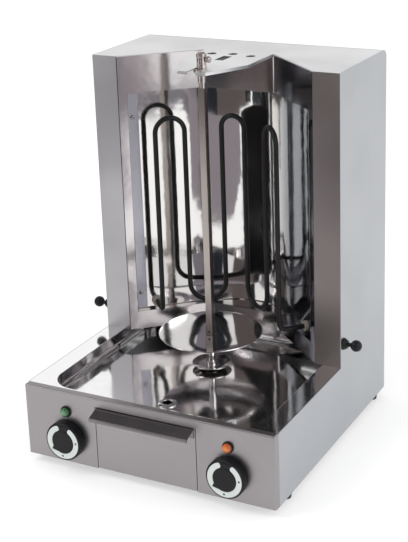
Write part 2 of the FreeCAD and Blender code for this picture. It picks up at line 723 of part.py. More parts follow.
def gear_motor():
    """Gear case with its output bore, and the round motor below it."""
    body = turned("gear_motor", [(0, 24), (24, 24), (25, 26), (25, 52), (33, 54), (34, 56), (34, 84),
                                 (33, 85), (12, 85), (12, 87), (shaft_radius + running_gap, 87),
                                 (shaft_radius + running_gap, 65.8), (0, 65.8)])
    move(body, 0, axis_y)
    bridge = new_body("motor_bracket")
    drawing = sketch(bridge, "XZ", axis_y)
    low = floor_z + sheet_metal
    top = 88.5
    polygon(drawing, [(-62, low), (-44, low), (-44, low + 2), (-46, low + 2), (-46, top - 2), (46, top - 2),
                      (46, low + 2), (44, low + 2), (44, low), (62, low), (62, low + 2), (48, low + 2),
                      (48, top), (-48, top), (-48, low + 2), (-62, low + 2)])
    pad(bridge, drawing, 56, both_ways=True)
    hole = sketch(bridge, "XY", top)
    circle(hole, 0, axis_y, 12.2)
    pocket(bridge, hole, 5)


# Drawer

def drawer():
    """Fat drawer: folded pan, front plate flush with the panel and a finger strip."""
    low = floor_z + sheet_metal + drawer_lift
    half = drawer_width / 2
    front = front_y + sheet_metal
    pan = new_body("drawer_pan")
    drawing = sketch(pan, "XY", low)
    edge = half - pan_inset
    rounded_rectangle(drawing, -edge, front, edge, front + drawer_length, pan_corner)
    pad(pan, drawing, pan_height)
    hollow = sketch(pan, "XY", low + pan_height)
    inner = edge - pan_sheet
    rounded_rectangle(hollow, -inner, front + pan_sheet, inner, front + drawer_length - pan_sheet,
                      pan_corner - pan_sheet)
    pocket(pan, hollow, pan_height - pan_sheet)
    plate = new_body("drawer_front")
    face = sketch(plate, "XZ", front_y)
    rectangle(face, -half, low - 0.8, half, floor_z + drawer_height + 1.2)
    pad(plate, face, sheet_metal, reverse=True)
    strip = new_body("drawer_handle")
    side = sketch(strip, "YZ")
    top = floor_z + drawer_height + 1
    nose = front_y - handle_reach
    polygon(side, [(front_y, top - 14), (front_y, top), (front_y - 2, top), (nose + 1.6, top - 6.6),
                   (nose, top - 8.4), (nose + 0.6, top - 11.5), (nose + 2, top - 11.2),
                   (nose + 1.7, top - 8.8), (nose + 2.6, top - 8), (front_y - 1.4, top - 1.6),
                   (front_y - 1.4, top - 14)])
    pad(strip, side, drawer_width - 4, both_ways=True)


def drawer_rails():
    """Two folded runners that the pan slides in."""
    low = floor_z + sheet_metal
    for name, side in (("left", -1), ("right", 1)):
        body = new_body("drawer_rail_" + name)
        drawing = sketch(body, "XZ", front_y + sheet_metal + 2)
        inner = drawer_width / 2 - 3.6
        outline = [(inner - 12, low), (inner + 14, low), (inner + 14, low + 1.2), (inner + 1.2, low + 1.2),
                   (inner + 1.2, low + 40), (inner, low + 40), (inner, low + 1.2), (inner - 12, low + 1.2)]
        polygon(drawing, [(side * x, z) for x, z in outline])
        pad(body, drawing, drawer_length - 6, reverse=True)


# Controls

def dial_point(radius, hour):
    """A place on the face of a knob, by its radius and its hour as on a clock."""
    angle = math.radians(30 * hour)
    return (radius * math.sin(angle), radius * math.cos(angle))


def dial_gap(drawing, inner, outer, play):
    """Outline of the dial's open top, drawn in by the play."""
    first, last = [dial_point(inner, hour) for hour in DIAL_OPEN]
    far_first, far_last = [dial_point(outer, hour) for hour in DIAL_OPEN]
    polygon(drawing, [(first[0] + play, first[1]), (far_first[0] + play, far_first[1]),
                      (far_last[0] - play, far_last[1]), (last[0] - play, last[1])])


def dial_notch(drawing, tip, root, inner):
    """Outline of the pointer's notch: a steep upper side and a long slope below."""
    upper, lower = [dial_point(root, hour) for hour in NOTCH_SIDES]
    polygon(drawing, [dial_point(inner, NOTCH_SIDES[0]), upper, dial_point(tip, NOTCH_TIP), lower,
                      dial_point(inner, NOTCH_SIDES[1])])


def knob(name, side):
    """Turned knob with its pointer, the pale dial ring let into its face, and its spindle."""
    front = -knob_length
    floor = front + dial_depth
    groove_inner = dial_inner - dial_play
    groove_outer = dial_outer + dial_play
    outside = [(0, -2), (6, -2), (6, -0.8), (knob_radius, -0.8), (knob_radius, front + 2),
               (knob_radius - 1.5, front)]
    groove = [(groove_outer, front), (groove_outer, floor), (groove_inner, floor), (groove_inner, front)]
    middle = [(groove_inner - 1.4, front - 1), (0, front - 1)]
    body = turned(name + "_knob", outside + groove + middle, axis="Y")
    pointer = sketch(body, "XZ", floor)
    core = dial_inner - 4
    dial_notch(pointer, notch_tip - 1, groove_inner - dial_play, core)
    pad(body, pointer, dial_depth)
    bridge = sketch(body, "XZ", floor)
    dial_gap(bridge, groove_inner - dial_play, groove_outer + dial_play, dial_play)
    pad(body, bridge, dial_depth)
    move(body, side * knob_offset, front_y, knob_z)
    ring = new_body(name + "_dial_ring")
    face = sketch(ring, "XZ", floor)
    circle(face, 0, 0, dial_outer)
    circle(face, 0, 0, dial_inner)
    pad(ring, face, dial_depth)
    gaps = sketch(ring, "XZ", floor)
    dial_gap(gaps, core, knob_radius, 0)
    dial_notch(gaps, notch_tip, dial_inner, core)
    pocket(ring, gaps)
    fillet(ring, (dial_outer - dial_inner) / 2 - 0.3, lambda e: along_y(e) and e.BoundBox.ZMin > core.value)
    move(ring, side * knob_offset, front_y, knob_z)
    outline = [(0, -2), (spindle_radius, -2), (spindle_radius, 20), (0, 20)]
    spindle = turned(name + "_knob_spindle", outline, axis="Y")
    move(spindle, side * knob_offset, front_y, knob_z)


def knob_switch(name, side):
    """Switch behind the front panel, with the bore for the spindle."""
    middle = side * knob_offset
    case = box(name + "_switch_case", middle - 22, front_y + sheet_metal, knob_z - 18,
               middle + 22, front_y + 34, knob_z + 18)
    bore = rod(name + "_switch_bore", spindle_radius + running_gap, 24, middle, front_y, knob_z, TO_BACK)
    keep(cut(name + "_switch", case, [bore]), name + "_switch")


def lamp(name, side):
    """Signal lamp: black bezel clipped in the panel and a domed lens."""
    z = foot_height + lamp_rise
    rim = lamp_radius
    bezel = turned(name + "_lamp_bezel", [(0, 16), (5, 16), (lamp_neck, 14), (lamp_neck, 0), (rim, 0),
                                          (rim, -1.6), (rim - 0.8, -2.6), (0, -2.6)], axis="Y")
    move(bezel, side * knob_offset, front_y, z)
    lens = turned(name + "_lamp_lens", [(0, -2.6), (6.8, -2.6), (6.8, -4.6), (6.2, -6), (4.8, -7.1),
                                        (2.6, -7.9), (0, -8.2)], axis="Y")
    move(lens, side * knob_offset, front_y, z)


# Heater and reflector

def heater():
    """One tube in six legs round the spit, with both ends bent back through the reflector."""
    legs = [(-x, y) for x, y in HEATER_LEGS[::-1]] + HEATER_LEGS
    legs = [Vector(x, axis_y.value + y, 0) for x, y in legs]
    top = foot_height.value + heater_top.value
    low = foot_height.value + heater_low.value
    entry = foot_height.value + heater_entry.value
    bend = heater_bend.value
    rise = Vector(0, 0, 1)
    out = Vector(-wing_sin.value, wing_cos.value, 0)
    mirror = Vector(wing_sin.value, wing_cos.value, 0)
    run = heater_run.value
    start = legs[0] + rise * entry
    edges = [Part.makeLine(start + out * run, start + out * bend)]
    corner = start + (out + rise) * bend - (out + rise) * (bend * math.sqrt(0.5))
    edges.append(Part.Arc(start + out * bend, corner, start + rise * bend).toShape())
    z = entry + bend
    for i in range(5):
        a, b = legs[i], legs[i + 1]
        radius = a.distanceToPoint(b) / 2
        up = i % 2 == 0
        turn_z = top - radius if up else low + radius
        crown = top if up else low
        edges.append(Part.makeLine(a + rise * z, a + rise * turn_z))
        edges.append(Part.Arc(a + rise * turn_z, (a + b) * 0.5 + rise * crown, b + rise * turn_z).toShape())
        z = turn_z
    finish = legs[5] + rise * entry
    edges.append(Part.makeLine(legs[5] + rise * z, finish + rise * bend))
    corner = finish + (mirror + rise) * bend - (mirror + rise) * (bend * math.sqrt(0.5))
    edges.append(Part.Arc(finish + rise * bend, corner, finish + mirror * bend).toShape())
    edges.append(Part.makeLine(finish + mirror * bend, finish + mirror * run))
    path = Part.Wire(edges)
    section = Part.Wire([Part.Circle(start + out * run, out, tube_radius.value).toShape()])
    tube = path.makePipeShell([section], True, True)
    feature = doc.addObject("Part::Feature", "heater")
    feature.Shape = tube
    return keep(feature, "heater")


def end_rod(label, side, radius, start, length):
    """A bar round one heater end, from a distance out from its leg."""
    bar = doc.addObject("Part::Cylinder", label)
    bind(bar, "Radius", radius)
    bind(bar, "Height", length)
    leg_x, leg_y = HEATER_LEGS[-1]
    outward = Vector(side * wing_sin.value, wing_cos.value, 0)
    bar.Placement.Rotation = FreeCAD.Rotation(Vector(0, 0, 1), outward)
    across = side * (leg_x + wing_sin * start)
    move(bar, across, axis_y + leg_y + wing_cos * start, foot_height + heater_entry)
    return bar


def heater_bushes():
    """Two ceramic bushes in the reflector that carry the heater ends."""
    solids = []
    for side in (-1, 1):
        collar = end_rod("collar_rod", side, bush_collar, bush_start, reflector_stand - bush_start)
        neck = end_rod("neck_rod", side, bush_neck, reflector_stand - 1, 14)
        bore = end_rod("bore_rod", side, tube_radius + 0.1, bush_start - 10, 50)
        stock = joined("bush_stock", [collar, neck])
        solids.append(cut("heater_bush", stock, [bore]))
    keep(joined("heater_bushes", solids), "heater_bushes")


def reflector():
    """Polished sheet: two flat wings behind the slanted fronts, and a round back about the spit axis."""
    body = doc.addObject("PartDesign::Body", "reflector_sheet")
    low = tray_z + reflector_low
    tall = roof_z - window_top + reflector_lap - low
    behind = sheet_metal + reflector_gap
    radius = hood_reach + behind
    drawing = sketch(body, "XY", low)
    circle(drawing, 0, axis_y, radius)
    circle(drawing, 0, axis_y, radius + reflector_sheet)
    pad(body, drawing, tall)
    trim = sketch(body, "XY", low)
    reach = radius + 5
    touch_x = wing_sin * radius
    touch_y = axis_y + wing_cos * radius
    polygon(trim, [(0, axis_y), (-touch_x * 1.2, axis_y + wing_cos * radius * 1.2), (-reach * 2, touch_y),
                   (-reach, axis_y - reach), (reach, axis_y - reach), (reach * 2, touch_y),
                   (touch_x * 1.2, axis_y + wing_cos * radius * 1.2)])
    pocket(body, trim)
    rear = behind + reflector_sheet
    for side in (-1, 1):
        wing = sketch(body, "XY", low)
        polygon(wing, [wing_point(side, spacer_near, behind), wing_point(side, wing_touch, behind),
                       wing_point(side, wing_touch, rear), wing_point(side, spacer_near, rear)])
        pad(body, wing, tall)
    holes = [end_rod("hole_rod", side, bush_neck + 0.1, 30, 40) for side in (-1, 1)]
    keep(cut("reflector", body, holes), "reflector")


def reflector_fixings():
    """Spacers behind the window edges, clamping strips on the reflector and their screws."""
    low = tray_z + reflector_low
    tall = roof_z - window_top + reflector_lap - low
    behind = sheet_metal + reflector_gap
    front = behind - strip_sheet
    far = strip_inset + strip_width
    for name, side in (("left", -1), ("right", 1)):
        spacer = new_body("reflector_spacer_" + name)
        drawing = sketch(spacer, "XY", low + 4)
        ends = (spacer_near, spacer_far)
        polygon(drawing, [wing_point(side, along, sheet_metal) for along in ends]
                + [wing_point(side, along, behind) for along in ends[::-1]])
        pad(spacer, drawing, tall - 8)
        strip = new_body("reflector_strip_" + name)
        drawing = sketch(strip, "XY", tray_z + window_bottom + 3)
        polygon(drawing, [wing_point(side, strip_inset, front), wing_point(side, far, front),
                          wing_point(side, far, behind), wing_point(side, strip_inset, behind)])
        pad(strip, drawing, hood_height - base_height - window_top - window_bottom - 6)
    heads = []
    for side in (-1, 1):
        x, y = wing_point(side, strip_inset + strip_width / 2 - 1, front)
        outward = Vector(-side * wing_sin.value, -wing_cos.value, 0)
        for z in STRIP_SCREW_HEIGHTS:
            turn = FreeCAD.Rotation(Vector(0, 0, 1), outward)
            heads.append(rod("strip_screw_head", screw_head, 2.4, x, y, foot_height + z, turn))
    keep(joined("reflector_screws", heads), "reflector_screws")


# Pin guide, pin and clamp screws

def pin_guide():
    """Sleeve standing in the nose slot, its nut, the pin inside and the thumb screw that holds the pin."""
    guide = turned("pin_guide", [(pin_radius + running_gap, -22), (6.3, -22), (6.3, 0), (sleeve_radius, 0),
                                 (sleeve_radius, sleeve_height - 1), (sleeve_radius - 1, sleeve_height),
                                 (pin_radius + running_gap, sleeve_height)])
    hole = sketch(guide, "YZ")
    circle(hole, 0, 12, 2.1)
    pocket(guide, hole, 20, reverse=True)
    move(guide, 0, axis_y, roof_z)
    nut = turned("guide_nut", [(6.35, -7), (11, -7), (12, -6), (12, -sheet_metal), (6.35, -sheet_metal)])
    move(nut, 0, axis_y, roof_z)
    head = foot_height + spit_top
    tip = pin_tip_radius
    pin = turned("top_pin", [(0, -pin_tip), (tip - 0.8, -pin_tip), (tip, 0.8 - pin_tip), (tip, 0.4),
                             (pin_radius, 0.4), (pin_radius, 44), (pin_radius - 1, 45), (0, 45)])
    move(pin, 0, axis_y, head)
    start = pin_radius + 0.3
    outer = sleeve_radius
    screw = turned("thumb_screw", [(0, start), (2, start), (2, outer + 0.6), (4, outer + 0.6),
                                   (4.5, outer + 1.2), (4.5, outer + 6), (3.6, outer + 7), (0, outer + 7)],
                   axis="X")
    move(screw, 0, axis_y, roof_z + 12)


def panel_screws():
    """Pan head screws along both edges of the back panel."""
    heads = []
    for side in (-1, 1):
        x = side * (side_x - screw_inset)
        for z in PANEL_SCREW_HEIGHTS:
            heads.append(rod("panel_screw_head", screw_head, 1.8, x, back_y, z, TO_BACK))
    keep(joined("panel_screws", heads), "panel_screws")


def clamp_screw(name, side):
    """Ball-headed screw in a conical boss at the foot of the hood side."""
    bore = clamp_stem + running_gap
    boss = turned("clamp_boss_" + name, [(bore, 0), (9, 0), (6, 7), (bore, 7)], axis="X")
    ball = doc.addObject("Part::Sphere", "clamp_ball_" + name)
    bind(ball, "Radius", clamp_ball)
    move(ball, 20, 0, 0)
    stem = rod("clamp_stem_" + name, clamp_stem, 24, -8, 0, 0, TO_RIGHT)
    whole = keep(joined("clamp_screw_" + name, [ball, stem]), "clamp_screw_" + name)
    for piece in (boss, whole):
        if side < 0:
            piece.Placement.Rotation = FreeCAD.Rotation(Vector(0, 0, 1), 180)
        move(piece, side * side_x, hood_y + clamp_inset, tray_z + clamp_rise)


# Rear connections

def cable_inlet():
    """Cable gland in the back panel, its nut inside and the terminal block."""
    thread = gland_thread
    gland = turned("cable_gland", [(4, -12), (thread, -12), (thread, 0), (12, 0), (12, 8), (10.5, 10),
                                   (10.5, 18), (7, 22), (4, 22)], axis="Y")
    move(gland, knob_offset, back_y, knob_z)
    inner = thread + running_gap
    inside = -sheet_metal
    nut = turned("gland_nut", [(inner, inside), (inner, -6), (12.5, -6), (12.5, inside)], axis="Y")
    move(nut, knob_offset, back_y, knob_z)
    low = floor_z + sheet_metal
    block = box("terminal_case", 60, 110, low, 110, 134, low + 20)
    screws = [rod("terminal_hole_%d" % i, 2.5, 12, 68 + 11 * i, 122, low + 9) for i in range(4)]
    keep(cut("terminal_block", block, screws), "terminal_block")


front_panel()
side_panel("left_side_panel", -1)
side_panel("right_side_panel", 1)
back_panel()
roof_panel("left_roof_panel", -1)
roof_panel("right_roof_panel", 1)
nose_plate()
hood_front()
window_ledge()
base_plate()
tray()
feet()
drain_ring()
drive_line()
drawer()
drawer_rails()
for name, side in (("left", -1), ("right", 1)):
    knob(name, side)
    knob_switch(name, side)
lamp("green", -1)
lamp("orange", 1)
heater()
heater_bushes()
reflector()
reflector_fixings()
pin_guide()
clamp_screw("left", -1)
clamp_screw("right", 1)
cable_inlet()
panel_screws()

doc.recompute()
faults = []
for thing in doc.Objects:
    if "Invalid" in thing.State or "Error" in thing.State:
        faults.append("%s is in state %s" % (thing.Name, thing.State))
for thing in sub_parts:
    if thing.Shape.isNull() or not thing.Shape.isValid():
        faults.append("%s has no valid shape" % thing.Label)
if faults:
    raise RuntimeError("; ".join(faults))
for thing in sub_parts:
    thing.Shape.exportStep("parts/%s.step" % thing.Label)
print("%d sub-parts written" % len(sub_parts))
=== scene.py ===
import logging
import math
from dataclasses import dataclass, field
from enum import Enum
from typing import Callable

import bmesh
import bpy
import numpy as np
from mathutils import Matrix, Vector


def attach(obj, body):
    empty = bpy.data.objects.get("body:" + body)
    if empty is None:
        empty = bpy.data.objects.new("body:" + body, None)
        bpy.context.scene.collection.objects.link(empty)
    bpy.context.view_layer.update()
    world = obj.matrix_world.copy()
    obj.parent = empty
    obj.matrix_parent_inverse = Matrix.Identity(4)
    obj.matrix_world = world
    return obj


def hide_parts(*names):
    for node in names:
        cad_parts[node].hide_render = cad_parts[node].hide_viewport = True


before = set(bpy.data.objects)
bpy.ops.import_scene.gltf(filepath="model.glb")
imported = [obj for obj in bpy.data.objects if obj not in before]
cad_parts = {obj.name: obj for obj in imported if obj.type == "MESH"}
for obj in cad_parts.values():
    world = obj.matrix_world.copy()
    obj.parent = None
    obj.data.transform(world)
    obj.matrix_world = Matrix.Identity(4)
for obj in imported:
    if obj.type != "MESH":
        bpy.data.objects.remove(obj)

# Upright doner grill, metres: x to the right, y to the rear, z up, origin under the middle of the housing.

LOG = logging.getLogger("grill")
MM = 0.001
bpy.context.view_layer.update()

FRONT = -206.0 * MM
BACK = 206.0 * MM
SIDE = 200.0 * MM
TRAY = 124.0 * MM
BASIN = 102.0 * MM
ROOF = 564.0 * MM
HOOD = 24.0 * MM
AXIS_Y = -2.0 * MM
KNOB_X = 130.0 * MM
KNOB_Z = 51.5 * MM
LAMP_Z = 94.0 * MM
WING_ANGLE = math.radians(41.95)
FLANGE_X = 158.8 * MM
SHEET = 1.2 * MM

Colour = tuple[float, float, float]


class Axis(Enum):
    """Direction of a turning axis or of a brushing."""

    X = 0
    Y = 1
    Z = 2


class Side(Enum):
    """Left and right half of the grill, seen from the front."""

    LEFT = -1
    RIGHT = 1

    @property
    def word(self) -> str:
        """Name of the side in piece names."""
        return self.name.lower()


# Shader groups

def new_group(name: str, inputs: dict[str, tuple[str, float | None]], outputs: dict[str, str]) -> bpy.types.NodeTree:
    """An empty shader group with its sockets.

    Args:
        name: name of the group.
        inputs: socket name to its kind and default value.
        outputs: socket name to its kind.

    Returns:
        The node tree, with a Group Input named "in" and a Group Output named "out".
    """
    tree = bpy.data.node_groups.new(name, "ShaderNodeTree")
    for label, (kind, value) in inputs.items():
        socket = tree.interface.new_socket(label, in_out="INPUT", socket_type="NodeSocket" + kind)
        if value is not None:
            socket.default_value = value
    for label, kind in outputs.items():
        tree.interface.new_socket(label, in_out="OUTPUT", socket_type="NodeSocket" + kind)
    tree.nodes.new("NodeGroupInput").name = "in"
    tree.nodes.new("NodeGroupOutput").name = "out"
    return tree


def noise(tree: bpy.types.NodeTree, scale: float, detail: float = 2.0, roughness: float = 0.5) -> bpy.types.Node:
    """A noise texture node with its scale set."""
    node = tree.nodes.new("ShaderNodeTexNoise")
    node.inputs["Scale"].default_value = scale
    node.inputs["Detail"].default_value = detail
    node.inputs["Roughness"].default_value = roughness
    return node


def ranged(tree: bpy.types.NodeTree, low: float, high: float, to_low: float, to_high: float) -> bpy.types.Node:
    """A smooth Map Range node."""
    node = tree.nodes.new("ShaderNodeMapRange")
    node.interpolation_type = "SMOOTHSTEP"
    for label, value in (("From Min", low), ("From Max", high), ("To Min", to_low), ("To Max", to_high)):
        node.inputs[label].default_value = value
    return node


def math_node(tree: bpy.types.NodeTree, operation: str, value: float | None = None) -> bpy.types.Node:
    """A Math node, with its second value when one is given."""
    node = tree.nodes.new("ShaderNodeMath")
    node.operation = operation
    if value is not None:
        node.inputs[1].default_value = value
    return node


def grain_group() -> bpy.types.NodeTree:
    """Brushed grain: noise on a stretched place gives a tone round 1 and a height, and a slow cloud adds to the tone
    and gives a haze.
    """
    tree = new_group("brushed_grain", {"Place": ("Vector", None), "Cloud place": ("Vector", None),
                                       "Contrast": ("Float", 0.05)},
                     {"Tone": "Float", "Height": "Float", "Haze": "Float"})
    links = tree.links
    fine = noise(tree, 1.0, 3.0, 0.65)
    cloud = noise(tree, 9.0, 2.0, 0.5)
    links.new(tree.nodes["in"].outputs["Place"], fine.inputs["Vector"])
    links.new(tree.nodes["in"].outputs["Cloud place"], cloud.inputs["Vector"])
    centred = math_node(tree, "SUBTRACT", 0.5)
    drift = math_node(tree, "SUBTRACT", 0.5)
    total = tree.nodes.new("ShaderNodeMath")
    total.operation = "ADD"
    scaled = tree.nodes.new("ShaderNodeMath")
    scaled.operation = "MULTIPLY"
    lifted = math_node(tree, "ADD", 1.0)
    links.new(fine.outputs["Fac"], centred.inputs[0])
    links.new(cloud.outputs["Fac"], drift.inputs[0])
    links.new(centred.outputs[0], total.inputs[0])
    links.new(drift.outputs[0], total.inputs[1])
    links.new(total.outputs[0], scaled.inputs[0])
    links.new(tree.nodes["in"].outputs["Contrast"], scaled.inputs[1])
    links.new(scaled.outputs[0], lifted.inputs[0])
    links.new(lifted.outputs[0], tree.nodes["out"].inputs["Tone"])
    links.new(fine.outputs["Fac"], tree.nodes["out"].inputs["Height"])
    links.new(cloud.outputs["Fac"], tree.nodes["out"].inputs["Haze"])
    return tree


def smudge_group() -> bpy.types.NodeTree:
    """Wipe marks: two noises of different size, thresholded and joined into one mask."""
    tree = new_group("wipe_marks", {"Place": ("Vector", None), "Amount": ("Float", 0.5)},
                     {"Mask": "Float", "Height": "Float"})
    links = tree.links
    broad = noise(tree, 14.0, 3.0, 0.6)
    small = noise(tree, 160.0, 2.0, 0.6)
    edge = ranged(tree, 0.45, 0.7, 0.0, 1.0)
    mixed = tree.nodes.new("ShaderNodeMath")
    mixed.operation = "MULTIPLY"
    amount = tree.nodes.new("ShaderNodeMath")
    amount.operation = "MULTIPLY"
    for node in (broad, small):
        links.new(tree.nodes["in"].outputs["Place"], node.inputs["Vector"])
    links.new(broad.outputs["Fac"], edge.inputs["Value"])
    links.new(edge.outputs["Result"], mixed.inputs[0])
    links.new(small.outputs["Fac"], mixed.inputs[1])
    links.new(mixed.outputs[0], amount.inputs[0])
    links.new(tree.nodes["in"].outputs["Amount"], amount.inputs[1])
    links.new(amount.outputs[0], tree.nodes["out"].inputs["Mask"])
    links.new(broad.outputs["Fac"], tree.nodes["out"].inputs["Height"])
    return tree


def pitted_group() -> bpy.types.NodeTree:
    """Fine pits of a moulded or rubber surface: small noise as height, a larger one as tone round 1."""
    tree = new_group("moulded_texture", {"Place": ("Vector", None), "Contrast": ("Float", 0.2)},
                     {"Tone": "Float", "Height": "Float"})
    links = tree.links
    fine = noise(tree, 1400.0, 2.0, 0.6)
    wide = noise(tree, 60.0, 3.0, 0.6)
    centred = math_node(tree, "SUBTRACT", 0.5)
    scaled = tree.nodes.new("ShaderNodeMath")
    scaled.operation = "MULTIPLY"
    lifted = math_node(tree, "ADD", 1.0)
    for node in (fine, wide):
        links.new(tree.nodes["in"].outputs["Place"], node.inputs["Vector"])
    links.new(wide.outputs["Fac"], centred.inputs[0])
    links.new(centred.outputs[0], scaled.inputs[0])
    links.new(tree.nodes["in"].outputs["Contrast"], scaled.inputs[1])
    links.new(scaled.outputs[0], lifted.inputs[0])
    links.new(lifted.outputs[0], tree.nodes["out"].inputs["Tone"])
    links.new(fine.outputs["Fac"], tree.nodes["out"].inputs["Height"])
    return tree


GROUPS: dict[str, bpy.types.NodeTree] = {}


def shared(name: str, make: Callable[[], bpy.types.NodeTree]) -> bpy.types.NodeTree:
    """The shader group of that name, made once."""
    if name not in GROUPS:
        GROUPS[name] = make()
    return GROUPS[name]


class Painter:
    """A new material with its Principled shader, and small helpers to wire it."""

    def __init__(self, name: str) -> None:
        """Start a material of that name."""
        self.material = bpy.data.materials.new(name)
        self.material.use_nodes = True
        self.tree = self.material.node_tree
        self.shader = self.tree.nodes["Principled BSDF"]
        self.place = self.tree.nodes.new("ShaderNodeTexCoord").outputs["Object"]

    def stretched(self, scale: tuple[float, float, float], turn: tuple[float, float, float] = (0, 0, 0)) -> bpy.types.NodeSocket:
        """Object coordinates, scaled per axis and turned."""
        node = self.tree.nodes.new("ShaderNodeMapping")
        node.inputs["Scale"].default_value = scale
        node.inputs["Rotation"].default_value = turn
        self.tree.links.new(self.place, node.inputs["Vector"])
        return node.outputs["Vector"]

    def group(self, name: str, make: Callable[[], bpy.types.NodeTree]) -> bpy.types.Node:
        """One use of a shared shader group."""
        node = self.tree.nodes.new("ShaderNodeGroup")
        node.node_tree = shared(name, make)
        return node

    def link(self, source: bpy.types.NodeSocket, socket: bpy.types.NodeSocket) -> None:
        """Wire two sockets."""
        self.tree.links.new(source, socket)

    def toned(self, colour: Colour, tone: bpy.types.NodeSocket) -> None:
        """Base colour as the colour times a tone round 1."""
        mix = self.tree.nodes.new("ShaderNodeMix")
        mix.data_type = "RGBA"
        mix.blend_type = "MULTIPLY"
        mix.inputs[0].default_value = 1.0
        mix.inputs[6].default_value = (*colour, 1.0)
        self.link(tone, mix.inputs[7])
        self.link(mix.outputs[2], self.shader.inputs["Base Color"])

    def painted_reflection_tint(self, colour: Colour, share: bpy.types.NodeSocket) -> None:
        """Multiply the base colour by a colour where the share is 1: a painted reflection tint."""
        mix = self.tree.nodes.new("ShaderNodeMix")
        mix.data_type = "RGBA"
        mix.blend_type = "MULTIPLY"
        self.link(share, mix.inputs[0])
        self.link(self.shader.inputs["Base Color"].links[0].from_socket, mix.inputs[6])
        mix.inputs[7].default_value = (*colour, 1.0)
        self.link(mix.outputs[2], self.shader.inputs["Base Color"])

    def along(self, axis: Axis, low: float, high: float) -> bpy.types.NodeSocket:
        """0 to 1 from the low to the high place on an axis, in metres."""
        parts = self.tree.nodes.new("ShaderNodeSeparateXYZ")
        share = ranged(self.tree, low, high, 0.0, 1.0)
        self.link(self.place, parts.inputs[0])
        self.link(parts.outputs[axis.value], share.inputs["Value"])
        return share.outputs["Result"]

    def facing_front(self) -> bpy.types.NodeSocket:
        """1 on faces that look to the front, 0 on the others: the mask of a painted reflection."""
        parts = self.tree.nodes.new("ShaderNodeSeparateXYZ")
        share = ranged(self.tree, -0.9, -0.5, 1.0, 0.0)
        self.link(self.tree.nodes.new("ShaderNodeNewGeometry").outputs["Normal"], parts.inputs[0])
        self.link(parts.outputs[Axis.Y.value], share.inputs["Value"])
        return share.outputs["Result"]

    def bumped(self, height: bpy.types.NodeSocket, distance: float, strength: float = 1.0) -> None:
        """A bump of that height in metres into the shader's normal."""
        bump = self.tree.nodes.new("ShaderNodeBump")
        bump.inputs["Distance"].default_value = distance
        bump.inputs["Strength"].default_value = strength
        self.link(height, bump.inputs["Height"])
        self.link(bump.outputs["Normal"], self.shader.inputs["Normal"])

    def plain(self, **values: float) -> None:
        """Constants straight on the shader, by socket name with _ for a space."""
        for label, value in values.items():
            self.shader.inputs[label.replace("_", " ")].default_value = value


@dataclass(frozen=True)
class BrushedSteel:
    """Sheet steel with a fine grain along one axis, and an optional painted reflection colour on its front-facing
    faces.
    """

    name: str
    colour: Colour
    roughness: float = 0.34
    grain: Axis = Axis.Z
    contrast: float = 0.10
    # The front colour is multiplied in on front-facing faces as a painted reflection of the surroundings.
    front: Colour | None = None

    def build(self) -> bpy.types.Material:
        """Grain tone on the colour, the painted reflection colour on front-facing faces, haze in the roughness and
        grain as a bump.
        """
        paint = Painter(self.name)
        scale = [1500.0, 1500.0, 1500.0]
        scale[self.grain.value] = 14.0
        grain = paint.group("brushed_grain", grain_group)
        paint.link(paint.stretched(tuple(scale)), grain.inputs["Place"])
        paint.link(paint.place, grain.inputs["Cloud place"])
        grain.inputs["Contrast"].default_value = self.contrast
        paint.toned(self.colour, grain.outputs["Tone"])
        if self.front:
            # Painted reflection: the front colour on faces that look to the front.
            paint.painted_reflection_tint(self.front, paint.facing_front())
        rough = ranged(paint.tree, 0.3, 0.7, self.roughness - 0.05, self.roughness + 0.06)
        paint.link(grain.outputs["Haze"], rough.inputs["Value"])
        paint.link(rough.outputs["Result"], paint.shader.inputs["Roughness"])
        paint.bumped(grain.outputs["Height"], 0.00003, 0.25)
        paint.plain(Metallic=1.0)
        return paint.material


@dataclass(frozen=True)
class PolishedSteel:
    """Mirror sheet or bright bar with faint wipe marks, and an optional painted dark reflection towards +x."""

    name: str
    colour: Colour = (0.80, 0.80, 0.815)
    roughness: float = 0.07
    marks: float = 0.5
    wave: float = 0.0
    # The dark colour and its span along x in metres paint a dark reflection over the right side.
    painted_dark_reflection: Colour | None = None
    painted_dark_reflection_span: tuple[float, float] = (0.05, 0.09)

    def build(self) -> bpy.types.Material:
        """Wipe marks in the roughness, the sheet's slight waviness as a bump, and a painted dark reflection over the
        right side.
        """
        paint = Painter(self.name)
        marks = paint.group("wipe_marks", smudge_group)
        paint.link(paint.place, marks.inputs["Place"])
        marks.inputs["Amount"].default_value = self.marks
        rough = ranged(paint.tree, 0.0, 0.5, self.roughness, self.roughness + 0.07)
        paint.link(marks.outputs["Mask"], rough.inputs["Value"])
        paint.link(rough.outputs["Result"], paint.shader.inputs["Roughness"])
        tone = ranged(paint.tree, 0.0, 0.6, 1.0, 0.93)
        paint.link(marks.outputs["Mask"], tone.inputs["Value"])
        paint.toned(self.colour, tone.outputs["Result"])
        # Painted dark reflection, darker towards +x.
        if self.painted_dark_reflection:
            paint.painted_reflection_tint(self.painted_dark_reflection, paint.along(Axis.X, *self.painted_dark_reflection_span))
        if self.wave:
            paint.bumped(marks.outputs["Height"], self.wave, 1.0)
        paint.plain(Metallic=1.0)
        return paint.material


